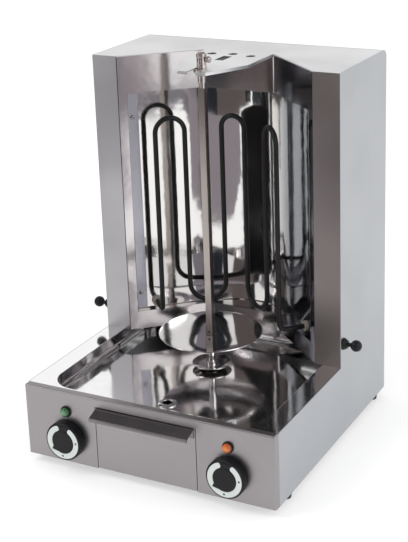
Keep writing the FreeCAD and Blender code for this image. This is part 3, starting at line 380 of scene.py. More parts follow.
@dataclass(frozen=True)
class Moulded:
    """Plastic, rubber or ceramic with a fine moulded texture."""

    name: str
    colour: Colour
    roughness: float = 0.45
    contrast: float = 0.25
    depth: float = 0.00003
    coat: float = 0.0
    shine: float = 0.5

    def build(self) -> bpy.types.Material:
        """Pits as a bump, and a slow change of tone and roughness."""
        paint = Painter(self.name)
        pits = paint.group("moulded_texture", pitted_group)
        paint.link(paint.place, pits.inputs["Place"])
        pits.inputs["Contrast"].default_value = self.contrast
        paint.toned(self.colour, pits.outputs["Tone"])
        rough = ranged(paint.tree, 0.8, 1.2, self.roughness - 0.06, self.roughness + 0.06)
        paint.link(pits.outputs["Tone"], rough.inputs["Value"])
        paint.link(rough.outputs["Result"], paint.shader.inputs["Roughness"])
        paint.bumped(pits.outputs["Height"], self.depth, 0.6)
        paint.plain(Specular_IOR_Level=self.shine)
        if self.coat:
            paint.plain(Coat_Weight=self.coat, Coat_Roughness=0.08)
        return paint.material


@dataclass(frozen=True)
class LampLens:
    """Coloured lens with a brighter middle: a painted glow, as the lens gives no light."""

    name: str
    colour: Colour
    # The glow colour is a painted glow in the middle of the lens, which gives no light.
    painted_glow: Colour
    centre: tuple[float, float, float]
    radius: float = 6.8 * MM

    def build(self) -> bpy.types.Material:
        """Colour from the rim to the painted glow by the distance from the lens axis."""
        paint = Painter(self.name)
        shift = paint.tree.nodes.new("ShaderNodeVectorMath")
        shift.operation = "DISTANCE"
        paint.link(paint.place, shift.inputs[0])
        shift.inputs[1].default_value = self.centre
        fade = ranged(paint.tree, 0.25 * self.radius, 1.05 * self.radius, 1.0, 0.0)
        paint.link(shift.outputs["Value"], fade.inputs["Value"])
        mix = paint.tree.nodes.new("ShaderNodeMix")
        mix.data_type = "RGBA"
        mix.inputs[6].default_value = (*self.colour, 1.0)
        mix.inputs[7].default_value = (*self.painted_glow, 1.0)
        paint.link(fade.outputs["Result"], mix.inputs[0])
        paint.link(mix.outputs[2], paint.shader.inputs["Base Color"])
        paint.plain(Roughness=0.18, Coat_Weight=0.6, Coat_Roughness=0.05)
        return paint.material


# The front, right, left, back and roof sheet steels are lit and shaded copies of one steel: their different colours
# are painted light, darkest on the front and lightest on the roof.
FRONT_STEEL = BrushedSteel("front_sheet_steel", (0.342, 0.322, 0.331), 0.36, Axis.X)
# The right and left sheet steel end in a front colour that is a painted reflection on their front-facing flanges:
# dark brown on the right, pale pink on the left.
SIDE_STEEL = BrushedSteel("right_sheet_steel", (0.446, 0.46, 0.484), 0.36, Axis.Z, 0.06, (0.667, 0.58, 0.538))
LEFT_STEEL = BrushedSteel("left_sheet_steel", (0.446, 0.46, 0.484), 0.36, Axis.Z, 0.06, (0.99, 0.935, 0.925))
BACK_STEEL = BrushedSteel("back_sheet_steel", (0.50, 0.51, 0.53), 0.38, Axis.Z, 0.06)
ROOF_STEEL = BrushedSteel("roof_sheet_steel", (0.79, 0.79, 0.80), 0.38, Axis.X, 0.04)
INNER_STEEL = BrushedSteel("inner_sheet_steel", (0.50, 0.50, 0.51), 0.42, Axis.X)
# The last colour of the hood front and the reflector is a painted dark reflection over their right side, from x 50 to
# 90 mm.
HOOD_MIRROR = PolishedSteel("hood_front_mirror", (0.68, 0.645, 0.65), 0.12, 0.5, 0.0003, (0.30, 0.33, 0.38))
BASIN_MIRROR = PolishedSteel("basin_mirror", (0.92, 0.91, 0.91), 0.09, 0.5, 0.0004)
REFLECTOR_MIRROR = PolishedSteel("reflector_mirror", (0.76, 0.745, 0.73), 0.06, 0.5, 0.0003, (0.32, 0.35, 0.40))
DISH_MIRROR = PolishedSteel("dish_mirror", (0.84, 0.83, 0.84), 0.08, 0.5, 0.0003)
BAR_STEEL = PolishedSteel("drawn_bar_steel", (0.43, 0.385, 0.36), 0.28, 0.8)
TURNED_STEEL = PolishedSteel("turned_steel", (0.68, 0.66, 0.65), 0.14, 0.6)
GUIDE_STEEL = PolishedSteel("pin_guide_steel", (0.58, 0.52, 0.50), 0.24, 0.8)
# The handle's dark colour is a painted dark reflection on its sloping top, not the steel's own colour.
HANDLE_STEEL = BrushedSteel("drawer_handle_steel", (0.20, 0.183, 0.19), 0.26, Axis.X, 0.08)
# Near-black for the printed dial dots, and as painted shade in the screw heads' cross recesses.
DOT_PRINT_AND_RECESS_SHADE = Moulded("dot_print_and_recess_shade", (0.02, 0.02, 0.02), 0.6, 0.3)
# Near-black sheet under the steam holes: painted shade seen through the holes.
STEAM_HOLE_SHADE = Moulded("steam_hole_shade", (0.045, 0.042, 0.04), 0.5, 0.9, 0.0002)
# The two clamping strips are one steel; the left copy is darker and bluer as a painted dark reflection.
STRIP_STEEL_LIT_AND_SHADED = {Side.LEFT: BrushedSteel("left_strip_steel", (0.42, 0.42, 0.47), 0.24, Axis.Z, 0.16),
               Side.RIGHT: BrushedSteel("right_strip_steel", (0.74, 0.74, 0.78), 0.24, Axis.Z, 0.16)}
BLACK_PLASTIC = Moulded("black_plastic", (0.010, 0.010, 0.012), 0.40, shine=0.22)
DIAL_WHITE = Moulded("dial_white", (0.74, 0.79, 0.76), 0.40, 0.12, 0.00002)
HEATER_BLACK = Moulded("heater_sheath", (0.009, 0.009, 0.010), 0.36, 0.5, 0.00004, shine=0.3)
FOOT_RUBBER = Moulded("foot_rubber", (0.012, 0.012, 0.012), 0.62, 0.3, 0.00006)
CERAMIC = Moulded("glazed_ceramic", (0.72, 0.69, 0.62), 0.25, 0.1, 0.00002, 0.5)
BUSH_CERAMIC = Moulded("heater_bush_ceramic", (0.30, 0.265, 0.23), 0.4, 0.3, 0.00004)
MOTOR_PAINT = Moulded("motor_paint", (0.17, 0.175, 0.18), 0.45, 0.2, 0.00004)
GREEN_LENS = LampLens("green_lens", (0.02, 0.10, 0.035), (0.10, 0.27, 0.11), (-KNOB_X, FRONT - 8 * MM, LAMP_Z))
ORANGE_LENS = LampLens("orange_lens", (0.42, 0.075, 0.01), (0.72, 0.20, 0.03), (KNOB_X, FRONT - 8 * MM, LAMP_Z))

Finish = BrushedSteel | PolishedSteel | Moulded | LampLens
MATERIALS: dict[str, bpy.types.Material] = {}


def material_of(finish: Finish) -> bpy.types.Material:
    """The material of a finish, made once."""
    if finish.name not in MATERIALS:
        MATERIALS[finish.name] = finish.build()
    return MATERIALS[finish.name]


def dress(node: str, finish: Finish) -> None:
    """Give a CAD node its finish and log it."""
    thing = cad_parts[node]
    if not thing.material_slots:
        thing.data.materials.append(material_of(finish))
    for slot in thing.material_slots:
        slot.material = material_of(finish)
    LOG.info("dressed %s in %s", node, finish.name)


# Surfaces

def soft_outline(corners: list[tuple[float, float, float]], steps: int = 5) -> np.ndarray:
    """An outline with rounded corners: each corner is a quadratic curve between points on its two sides.

    Args:
        corners: (across, along, softness) of each corner in millimetres.
        steps: points per corner.

    Returns:
        Points (n, 2) in metres: (1-s)^2 of the start, 2s(1-s) of the corner and s^2 of the end.
    """
    data = np.array(corners, float) * MM
    point, soft = data[:, :2], data[:, 2:3]
    before, after = np.roll(point, 1, 0) - point, np.roll(point, -1, 0) - point
    long_before = np.linalg.norm(before, axis=1, keepdims=True)
    long_after = np.linalg.norm(after, axis=1, keepdims=True)
    reach = np.minimum(soft, 0.48 * np.minimum(long_before, long_after))
    start = point + before / long_before * reach
    end = point + after / long_after * reach
    s = np.linspace(0, 1, steps)[None, :, None]
    curve = (1 - s) ** 2 * start[:, None] + 2 * s * (1 - s) * point[:, None] + s ** 2 * end[:, None]
    return curve.reshape(-1, 2)


def mesh_object(name: str, points: np.ndarray, faces: list, smooth_angle: float = 32.0) -> bpy.types.Object:
    """A mesh object in the row frame from points and faces, merged, with outward normals and sharp creases."""
    mesh = bpy.data.meshes.new(name)
    mesh.from_pydata(points.tolist(), [], faces)
    work = bmesh.new()
    work.from_mesh(mesh)
    bmesh.ops.remove_doubles(work, verts=work.verts, dist=2e-6)
    bmesh.ops.dissolve_degenerate(work, edges=work.edges, dist=1e-7)
    bmesh.ops.recalc_face_normals(work, faces=work.faces)
    work.to_mesh(mesh)
    work.free()
    mesh.shade_smooth()
    mesh.set_sharp_from_angle(angle=math.radians(smooth_angle))
    thing = bpy.data.objects.new(name, mesh)
    bpy.context.scene.collection.objects.link(thing)
    return thing


def lofted(name: str, rings: np.ndarray, looped: bool = False, smooth_angle: float = 32.0) -> bpy.types.Object:
    """A skin over closed rings (rows, points, 3): each point joins the same point of the next row.

    Args:
        name: name of the piece.
        rings: the closed rings, one per row.
        looped: True if the last row joins the first one, otherwise both ends are closed by a face.
        smooth_angle: creases sharper than this stay sharp, in degrees.

    Returns:
        The mesh object.
    """
    rows, count, _ = rings.shape
    index = np.arange(rows * count).reshape(rows, count)
    here = index if looped else index[:-1]
    there = np.roll(index, -1, 0) if looped else index[1:]
    quads = np.stack([here, np.roll(here, -1, 1), np.roll(there, -1, 1), there], -1).reshape(-1, 4)
    faces = quads.tolist()
    if not looped:
        faces += [index[0][::-1].tolist(), index[-1].tolist()]
    return mesh_object(name, rings.reshape(-1, 3), faces, smooth_angle)


def turned(name: str, outline: np.ndarray, centre: tuple[float, float, float], axis: Axis, segments: int = 72,
           ripple: Callable[[np.ndarray, np.ndarray], np.ndarray] | None = None, tube: bool = False) -> bpy.types.Object:
    """A piece turned round an axis: x = r cos t, y = r sin t, with the outline's second value along the axis.

    Args:
        name: name of the piece.
        outline: (radius, along) points; an open outline starts and ends on the axis.
        centre: where the outline's zero lies.
        axis: direction that the outline's second value runs along.
        segments: divisions round the axis.
        ripple: factor on the radius from (row, angle), for flats and knurls.
        tube: True if the outline is a closed ring round a bore.

    Returns:
        The mesh object.
    """
    angle = np.linspace(0, 2 * math.pi, segments, endpoint=False)
    radius = outline[:, :1] * np.ones_like(angle)
    if ripple is not None:
        radius = radius * ripple(outline[:, 1:2], angle[None, :])
    along = outline[:, 1:2] * np.ones_like(angle)
    a, b = radius * np.cos(angle), radius * np.sin(angle)
    order = {Axis.X: (along, a, b), Axis.Y: (a, along, b), Axis.Z: (a, b, along)}[axis]
    rings = np.stack(order, -1) + np.array(centre)
    return lofted(name, rings, looped=tube)


def extruded(name: str, outline: np.ndarray, ends: tuple[float, float], place: Callable[[np.ndarray, float], np.ndarray],
             smooth_angle: float = 32.0) -> bpy.types.Object:
    """A closed outline (n, 2) carried from one end to the other; place(outline, end) gives its points in space."""
    rings = np.stack([place(outline, end) for end in ends])
    return lofted(name, rings, False, smooth_angle)


def swept_tube(name: str, path: np.ndarray, radius: float, segments: int = 20) -> bpy.types.Object:
    """A round tube along a path: each ring lies square to the path, and starts on the side away from the spit axis.

    Args:
        name: name of the piece.
        path: points (n, 3) along the middle of the tube.
        radius: radius of the tube.
        segments: points round the tube.

    Returns:
        The mesh object.
    """
    tangent = np.gradient(path, axis=0)
    tangent /= np.linalg.norm(tangent, axis=1, keepdims=True)
    away = path - np.array([0, AXIS_Y, 0])
    away[:, 2] = 0
    away /= np.linalg.norm(away, axis=1, keepdims=True)
    normal = away - (away * tangent).sum(1, keepdims=True) * tangent
    normal /= np.linalg.norm(normal, axis=1, keepdims=True)
    other = np.cross(tangent, normal)
    angle = np.linspace(0, 2 * math.pi, segments, endpoint=False)[None, :, None]
    rings = path[:, None] + radius * (np.cos(angle) * normal[:, None] + np.sin(angle) * other[:, None])
    return lofted(name, rings)


def arc_points(start: np.ndarray, middle: np.ndarray, lift: np.ndarray, steps: int) -> np.ndarray:
    """A half circle: centre plus cos t of the start arm plus sin t of the lift, t from 0 to pi."""
    t = np.linspace(0, math.pi, steps)[:, None]
    return middle + np.cos(t) * (start - middle) + np.sin(t) * lift


def add(piece: bpy.types.Object, finish: Finish, body: str, *stands_for: str) -> bpy.types.Object:
    """Dress a new piece, put it on its body, let it stand for CAD nodes and log it.

    Args:
        piece: the mesh object.
        finish: its finish.
        body: the body that it rides on.
        stands_for: CAD nodes that it replaces.

    Returns:
        The piece.
    """
    piece.data.materials.append(material_of(finish))
    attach(piece, body)
    if stands_for:
        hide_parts(*stands_for)
    LOG.info("made %s on %s, %d faces", piece.name, body, len(piece.data.polygons))
    return piece


def merged(name: str, pieces: list[bpy.types.Object]) -> bpy.types.Object:
    """Several new objects made one, with the first one's place and the given name."""
    work = bmesh.new()
    for piece in pieces:
        work.from_mesh(piece.data)
    mesh = bpy.data.meshes.new(name)
    work.to_mesh(mesh)
    work.free()
    for piece in pieces:
        bpy.data.objects.remove(piece)
    mesh.set_sharp_from_angle(angle=math.radians(32.0))
    thing = bpy.data.objects.new(name, mesh)
    bpy.context.scene.collection.objects.link(thing)
    return thing


def axes_about(outward: np.ndarray) -> tuple[np.ndarray, np.ndarray]:
    """Two directions square to a level outward one: level across, and up."""
    across = np.cross(outward, [0, 0, 1.0])
    return across / np.linalg.norm(across), np.array([0, 0, 1.0])


def pan_head(name: str, centre: np.ndarray, outward: np.ndarray, radius: float = 3.5 * MM,
             height: float = 1.8 * MM, segments: int = 28) -> bpy.types.Object:
    """A domed screw head: rings of radius r cos t at height h sin t, round the outward direction.

    Args:
        name: name of the piece.
        centre: middle of its seat.
        outward: level direction that it faces.
        radius: radius of its rim.
        height: height of the dome.
        segments: points round it.

    Returns:
        The mesh object.
    """
    across, up = axes_about(outward)
    t = np.linspace(0, 0.44 * math.pi, 7)
    radii = np.concatenate([[radius], radius * np.cos(t) ** 0.7])[:, None, None]
    rise = np.concatenate([[-0.2 * MM], height * np.sin(t) / np.sin(t[-1])])[:, None, None]
    angle = np.linspace(0, 2 * math.pi, segments, endpoint=False)[None, :, None]
    rings = centre + rise * outward + radii * (np.cos(angle) * across + np.sin(angle) * up)
    return lofted(name, rings)


def cross_recess_shade(name: str, centre: np.ndarray, outward: np.ndarray, lift: float, reach: float = 1.9 * MM,
                 half: float = 0.35 * MM) -> bpy.types.Object:
    """A thin dark cross on a screw head: painted shade of its recess, which is not cut.

    Args:
        name: name of the piece.
        centre: middle of the head's seat.
        outward: level direction that the head faces.
        lift: height of the head over its seat.
        reach: length of an arm.
        half: half the width of an arm.

    Returns:
        The mesh object.
    """
    across, up = axes_about(outward)
    corner = [(half, half), (half, reach), (-half, reach), (-half, half), (-reach, half), (-reach, -half),
              (-half, -half), (-half, -reach), (half, -reach), (half, -half), (reach, -half), (reach, half)]
    flat = np.array([a * across + b * up for a, b in corner])
    rings = np.stack([centre + flat + outward * level for level in (lift - 0.5 * MM, lift + 0.04 * MM)])
    return lofted(name, rings)


def wing_point(side: Side, along: float, behind: float) -> np.ndarray:
    """Place on a slanted wing in plan: along it from its flange and behind its front face."""
    x = FLANGE_X - math.cos(WING_ANGLE) * along + math.sin(WING_ANGLE) * behind
    y = HOOD + math.sin(WING_ANGLE) * along + math.cos(WING_ANGLE) * behind
    return np.array([side.value * x, y])


# Sub-assemblies

@dataclass
class Housing:
    """Sheet steel panels, the nose and the feet."""

    foot_x: float = 186 * MM
    foot_rows: dict[str, float] = field(default_factory=lambda: {"front": -146 * MM, "rear": 186 * MM})
    screw_x: float = 192 * MM
    screw_heights: tuple[float, ...] = (40.0, 125.0, 290.0, 440.0, 535.0)
    nose_lip: float = 4.5 * MM

    def nose(self) -> None:
        """Nose plate with its holes and a short bent lip: no point lies lower than the lip under the roof."""
        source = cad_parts["nose_plate"].data
        points = np.empty(3 * len(source.vertices))
        source.vertices.foreach_get("co", points)
        corners = np.empty(len(source.loops), dtype=int)
        source.loops.foreach_get("vertex_index", corners)
        points = points.reshape(-1, 3)
        points[:, 2] = np.maximum(points[:, 2], ROOF - self.nose_lip)
        nose = mesh_object("nose_plate_lipped", points, corners.reshape(-1, 3).tolist())
        add(nose, ROOF_STEEL, "housing", "nose_plate")

    def dress_panels(self) -> None:
        """Steel of every panel, by the way it faces: lit and shaded copies of one steel, as painted light."""
        dress("front_panel", FRONT_STEEL)
        dress("left_side_panel", LEFT_STEEL)
        dress("right_side_panel", SIDE_STEEL)
        dress("back_panel", BACK_STEEL)
        for node in ("left_roof_panel", "right_roof_panel"):
            dress(node, ROOF_STEEL)
        dress("base_plate", INNER_STEEL)

    def panel_screws(self) -> None:
        """Domed screw heads along both edges of the back panel, each with a dark cross as painted shade of its
        recess.
        """
        heads, recess_shades = [], []
        for side in Side:
            for z in self.screw_heights:
                centre = np.array([side.value * self.screw_x, BACK, z * MM])
                heads.append(pan_head("head", centre, np.array([0, 1.0, 0])))
                recess_shades.append(cross_recess_shade("recess", centre, np.array([0, 1.0, 0]), 1.8 * MM))
        add(merged("panel_screw_heads", heads), TURNED_STEEL, "housing", "panel_screws")
        add(merged("panel_screw_recess_shades", recess_shades), DOT_PRINT_AND_RECESS_SHADE, "housing")

    def feet(self) -> None:
        """Rubber feet with a rounded rim and a grip groove."""
        outline = soft_outline([(0, 2, 0), (3.4, 2, 0.3), (4, 0, 0.5), (8, 0, 0.8), (8.6, 4, 0.4), (8.3, 4.8, 0.3),
                                (8.9, 5.6, 0.4), (10, 13.9, 0.8), (0, 13.9, 0)], 4)
        for row, y in self.foot_rows.items():
            for side in Side:
                foot = turned(f"rubber_foot_{row}_{side.word}", outline, (side.value * self.foot_x, y, 0), Axis.Z, 40)
                add(foot, FOOT_RUBBER, "housing", f"foot_{row}_{side.word}")

    def build(self) -> None:
        """All of the housing."""
        self.dress_panels()
        self.nose()
        self.panel_screws()
        self.feet()


@dataclass
class HeatingWell:
    """Folded hood front, reflector, heater and their fixings."""

    tube_radius: float = 3.8 * MM
    legs: tuple[tuple[float, float], ...] = ((19.0, 91.0), (66.0, 61.0), (99.4, 30.6))
    crown: float = 472 * MM
    low: float = 177 * MM
    entry: float = 165 * MM
    bend: float = 12 * MM
    run: float = 62 * MM
    reflector_gap: float = 8.2 * MM
    reflector_sheet: float = 0.8 * MM
    reflector_low: float = 129 * MM
    reflector_high: float = 518 * MM
    screw_along: float = 22 * MM
    screw_heights: tuple[float, ...] = (182 * MM, 467 * MM)

    def heater_path(self) -> np.ndarray:
        """Middle line of the tube: straight legs up and down, joined by half circles, with quarter bends at both ends."""
        half = np.array(self.legs) * MM
        feet = np.vstack([half[::-1] * [-1, 1], half]) + [0, AXIS_Y]
        feet = np.column_stack([feet, np.zeros(len(feet))])
        rise = np.array([0, 0, 1.0])
        out = {Side.LEFT: np.array([-math.sin(WING_ANGLE), math.cos(WING_ANGLE), 0]),
               Side.RIGHT: np.array([math.sin(WING_ANGLE), math.cos(WING_ANGLE), 0])}
        t = np.linspace(0, math.pi / 2, 9)[:, None]
        start = feet[0] + rise * self.entry
        pieces = [np.linspace(start + out[Side.LEFT] * self.run, start + out[Side.LEFT] * self.bend, 12)[:-1]]
        turn = start + (out[Side.LEFT] + rise) * self.bend
        pieces.append(turn - self.bend * (np.sin(t) * out[Side.LEFT] + np.cos(t) * rise))
        for i in range(len(feet) - 1):
            a, b = feet[i], feet[i + 1]
            radius = np.linalg.norm(b - a) / 2
            up = i % 2 == 0
            level = self.crown - radius if up else self.low + radius
            middle = (a + b) / 2 + rise * level
            pieces.append(arc_points(a + rise * level, middle, rise * radius * (1 if up else -1), 25))
        end = feet[-1] + rise * self.entry
        turn = end + (out[Side.RIGHT] + rise) * self.bend
        pieces.append((turn - self.bend * (np.sin(t) * out[Side.RIGHT] + np.cos(t) * rise))[::-1])
        pieces.append(np.linspace(end + out[Side.RIGHT] * self.bend, end + out[Side.RIGHT] * self.run, 12)[1:])
        path = np.vstack(pieces)
        step = np.linalg.norm(np.diff(path, axis=0), axis=1)
        place = np.concatenate([[0], np.cumsum(step)])
        keep = np.concatenate([[True], step > 1e-7])
        even = np.linspace(0, place[-1], 760)
        return np.column_stack([np.interp(even, place[keep], path[keep, k]) for k in range(3)])

    def heater(self) -> None:
        """Black sheathed tube in six legs round the spit."""
        add(swept_tube("heater_tube", self.heater_path(), self.tube_radius), HEATER_BLACK, "housing", "heater")
        dress("heater_bushes", BUSH_CERAMIC)
        dress("window_ledge", HOOD_MIRROR)

    def reflector(self) -> None:
        """Polished sheet behind the heater: straight along both wings, round about the spit axis between them."""
        gap, sheet = self.reflector_gap, self.reflector_sheet
        radius = math.sin(WING_ANGLE) * FLANGE_X + math.cos(WING_ANGLE) * (HOOD - AXIS_Y) + gap
        tangent = math.cos(WING_ANGLE) * FLANGE_X - math.sin(WING_ANGLE) * (HOOD - AXIS_Y)
        reach = math.pi / 2 - math.atan2(math.cos(WING_ANGLE), math.sin(WING_ANGLE))
        turn = np.linspace(-reach, reach, 61)[:, None]
        sections = []
        for level in (0.0, sheet):
            left = np.linspace(wing_point(Side.LEFT, 3 * MM, gap + level), wing_point(Side.LEFT, tangent, gap + level), 12)
            right = np.linspace(wing_point(Side.RIGHT, tangent, gap + level), wing_point(Side.RIGHT, 3 * MM, gap + level), 12)
            back = (radius + level) * np.hstack([np.sin(turn), np.cos(turn)]) + [0, AXIS_Y]
            sections.append(np.vstack([left[:-1], back, right[1:]]))
        front, rear = sections
        low, high = self.reflector_low, self.reflector_high
        corner = [np.column_stack([line, np.full(len(line), z)])
                  for line, z in ((front, low), (front, high), (rear, high), (rear, low))]
        rings = np.stack(corner, 1)
        add(lofted("reflector_mirror_sheet", rings, False, 30), REFLECTOR_MIRROR, "housing", "reflector")

    def fixings(self) -> None:
        """Clamping strips, spacers and cross head screws, whose recesses are a dark cross of painted shade."""
        for side in Side:
            dress(f"reflector_strip_{side.word}", STRIP_STEEL_LIT_AND_SHADED[side])
            dress(f"reflector_spacer_{side.word}", INNER_STEEL)
        dress("hood_front", HOOD_MIRROR)
        heads, recess_shades = [], []
        for side in Side:
            outward = np.array([-side.value * math.sin(WING_ANGLE), -math.cos(WING_ANGLE), 0])
            across = wing_point(side, self.screw_along, self.reflector_gap - 1 * MM)
            for z in self.screw_heights:
                centre = np.array([*across, z])
                heads.append(pan_head("head", centre, outward, height=2.4 * MM))
                recess_shades.append(cross_recess_shade("recess", centre, outward, 2.4 * MM))
        add(merged("reflector_screw_heads", heads), TURNED_STEEL, "housing", "reflector_screws")
        add(merged("reflector_screw_recesses", recess_shades), DOT_PRINT_AND_RECESS_SHADE, "housing")

    def build(self) -> None:
        """All of the heating well."""
        self.heater()
        self.reflector()
        self.fixings()


@dataclass
class SpitDrive:
    """Spit, meat dish, shaft, driving saucer and gear motor."""

    dish_z: float = 154 * MM
    bore: float = 3.5 * MM
    flat: float = 18 * MM
    rim: float = 77.4 * MM
    depth: float = 5.5 * MM
    power: float = 2.0
    plate: float = 1.1 * MM

    def dish(self) -> None:
        """Shallow bowl: the height rises as a power of the distance past its flat middle, up to a thin rolled rim."""
        radius = np.linspace(self.bore, self.rim, 60)
        height = self.depth * (np.maximum(radius - self.flat, 0) / (self.rim - self.flat)) ** self.power
        inside = np.column_stack([radius, height])
        bead = np.array([[0.1, 0.35], [0.4, 0.45], [0.6, 0.1], [0.5, -0.5]]) * MM + [self.rim, self.depth]
        outside = np.column_stack([radius, height - self.plate])[::-1]
        outline = np.vstack([inside, bead, outside])
        dish = turned("meat_dish_plate", outline, (0, AXIS_Y, self.dish_z), Axis.Z, 160, tube=True)
        add(dish, DISH_MIRROR, "rotor", "meat_dish")

    def saucer(self) -> None:
        """Driving saucer with its hub."""
        outline = soft_outline([(5.5, 3, 0), (20, 3, 1), (29, 6.2, 1), (30, 7.4, 0.4), (29.4, 8, 0.3), (28, 7.4, 0.4),
                                (19.6, 4.4, 1), (9, 4.4, 0.6), (8.5, 10, 0.4), (5.5, 10, 0)], 5)
        add(turned("drive_saucer_plate", outline, (0, AXIS_Y, BASIN), Axis.Z, 96, tube=True), TURNED_STEEL, "rotor",
            "drive_saucer")

    def build(self) -> None:
        """All of the drive line."""
        self.dish()
        self.saucer()
        dress("spit", BAR_STEEL)
        dress("drive_shaft", TURNED_STEEL)
        dress("shaft_bush", TURNED_STEEL)
        dress("gear_motor", MOTOR_PAINT)
        dress("motor_bracket", INNER_STEEL)


@dataclass
class Tray:
    """Deep drawn tray and its drain collar."""

    drain_y: float = -140 * MM

    def build(self) -> None:
        """Tray sheet and collar."""
        dress("tray", BASIN_MIRROR)
        outline = soft_outline([(7, -6, 0), (7.9, -6, 0), (7.9, 0, 0), (14, 0, 0.2), (14, 1, 0.5), (11, 3, 0.8),
                                (8, 3, 0.8), (7, 2, 0.4)], 5)
        add(turned("drain_collar", outline, (0, self.drain_y, BASIN), Axis.Z, 72, tube=True), TURNED_STEEL, "housing",
            "drain_ring")


@dataclass
class Drawer:
    """Fat drawer with its finger strip and runners."""

    def build(self) -> None:
        """Steel of pan, front, strip and runners."""
        dress("drawer_front", FRONT_STEEL)
        dress("drawer_handle", HANDLE_STEEL)
        dress("drawer_pan", INNER_STEEL)
        for side in Side:
            dress(f"drawer_rail_{side.word}", INNER_STEEL)


@dataclass
class Controls:
    """Knobs with their dials, and the signal lamps."""

    knob_length: float = 14 * MM
    dial_middle: float = 22 * MM
    dot_radius: float = 1.5 * MM
    dot_hours: tuple[float, ...] = (2.85, 6.1)
    lamp_words: dict[Side, str] = field(default_factory=lambda: {Side.LEFT: "green", Side.RIGHT: "orange"})

    def lamp(self, side: Side) -> None:
        """Domed lens in its black bezel."""
        word = self.lamp_words[side]
        centre = (side.value * KNOB_X, FRONT, LAMP_Z)
        t = np.linspace(0, math.pi / 2, 14)
        dome = np.column_stack([6.8 * np.cos(t), -4.4 - 3.8 * np.sin(t)]) * MM
        outline = np.vstack([[[0, -2.6 * MM], [6.8 * MM, -2.6 * MM]], dome])
        outline[-1, 0] = 0
        lens = turned(f"{word}_lens_dome", outline, centre, Axis.Y, 48)
        add(lens, GREEN_LENS if side is Side.LEFT else ORANGE_LENS, "housing", f"{word}_lamp_lens")
        dress(f"{word}_lamp_bezel", BLACK_PLASTIC)

    def dial_dots(self, side: Side) -> None:
        """Two black dots on the pale ring, at their hours as on a clock."""
        dots = []
        for hour in self.dot_hours:
            angle = math.radians(30 * hour)
            centre = (side.value * KNOB_X + self.dial_middle * math.sin(angle), FRONT - self.knob_length,
                      KNOB_Z + self.dial_middle * math.cos(angle))
            outline = np.array([[0, 0.2], [1, 0.2], [1, -0.04], [0.9, -0.07], [0, -0.08]]) * MM
            outline[:, 0] *= self.dot_radius / MM
            dots.append(turned("dot", outline, centre, Axis.Y, 28))
        add(merged(f"{side.word}_dial_dots", dots), DOT_PRINT_AND_RECESS_SHADE, f"{side.word}_control")

    def build(self) -> None:
        """Both knobs and both lamps."""
        for side in Side:
            self.dial_dots(side)
            dress(f"{side.word}_knob", BLACK_PLASTIC)
            dress(f"{side.word}_dial_ring", DIAL_WHITE)
            dress(f"{side.word}_knob_spindle", TURNED_STEEL)
            dress(f"{side.word}_switch", BLACK_PLASTIC)
            self.lamp(side)


@dataclass
class TopPin:
    """Sleeve, nut, pin and thumb screw over the spit, and a dark sheet under the steam holes as painted shade."""

    screw_z: float = 576 * MM
    knurls: int = 24
    shade_sheet: tuple[float, float, float, float] = (-44.0, 48.0, 44.0, 106.0)
    shade_sheet_z: tuple[float, float] = (561.6, 562.4)

    def sleeve(self) -> None:
        """Pin guide with a rounded mouth and a bead at its foot."""
        outline = soft_outline([(5.05, -22, 0), (6.3, -22, 0.3), (6.3, 0, 0.1), (7.5, 0, 0.2), (7.5, 2.6, 0.4),
                                (7.1, 3.2, 0.3), (7.1, 15.4, 0.3), (7.5, 16, 0.4), (7.5, 20.2, 0.6), (6.6, 21, 0.5),
                                (5.05, 21, 0.4)], 4)
        guide = turned("pin_guide_sleeve", outline, (0, AXIS_Y, ROOF), Axis.Z, 64, tube=True)
        add(guide, GUIDE_STEEL, "housing", "pin_guide")

    def thumb_screw(self) -> None:
        """Knurled thumb screw: the head's radius goes up and down round it as a cosine."""
        knurls = self.knurls

        def knurl(along: np.ndarray, angle: np.ndarray) -> np.ndarray:
            """Factor on the radius: a cosine of the knurls' number on the head, 1 elsewhere."""
            head = (along > 9.2 * MM) & (along < 13.3 * MM)
            return 1 - 0.035 * head * (1 + np.cos(knurls * angle))

        outline = soft_outline([(0, 5.3, 0), (2, 5.3, 0.3), (2, 8.1, 0.1), (3.6, 8.1, 0.3), (4.5, 8.9, 0.3),
                                (4.5, 9.4, 0), (4.5, 11.4, 0), (4.5, 13.2, 0), (4.3, 13.8, 0.2), (3.4, 14.5, 0.5),
                                (0, 14.5, 0)], 4)
        screw = turned("thumb_screw_knurled", outline, (0, AXIS_Y, self.screw_z), Axis.X, 144, knurl)
        add(screw, GUIDE_STEEL, "thumb_screw", "thumb_screw")

    def steam_hole_shade(self) -> None:
        """Dark sheet under the steam holes of the nose: painted shade that darkens the holes."""
        x0, y0, x1, y1 = self.shade_sheet
        outline = soft_outline([(x0, y0, 3), (x1, y0, 3), (x1, y1, 3), (x0, y1, 3)], 5)

        def level(points: np.ndarray, z: float) -> np.ndarray:
            """The outline at one height."""
            return np.column_stack([points, np.full(len(points), z * MM)])

        add(extruded("steam_hole_shade_sheet", outline, self.shade_sheet_z, level), STEAM_HOLE_SHADE, "housing")

    def build(self) -> None:
        """Steel of the turned pieces, and the painted-shade sheet under the steam holes."""
        self.sleeve()
        self.thumb_screw()
        self.steam_hole_shade()
        dress("guide_nut", GUIDE_STEEL)
        dress("top_pin", GUIDE_STEEL)


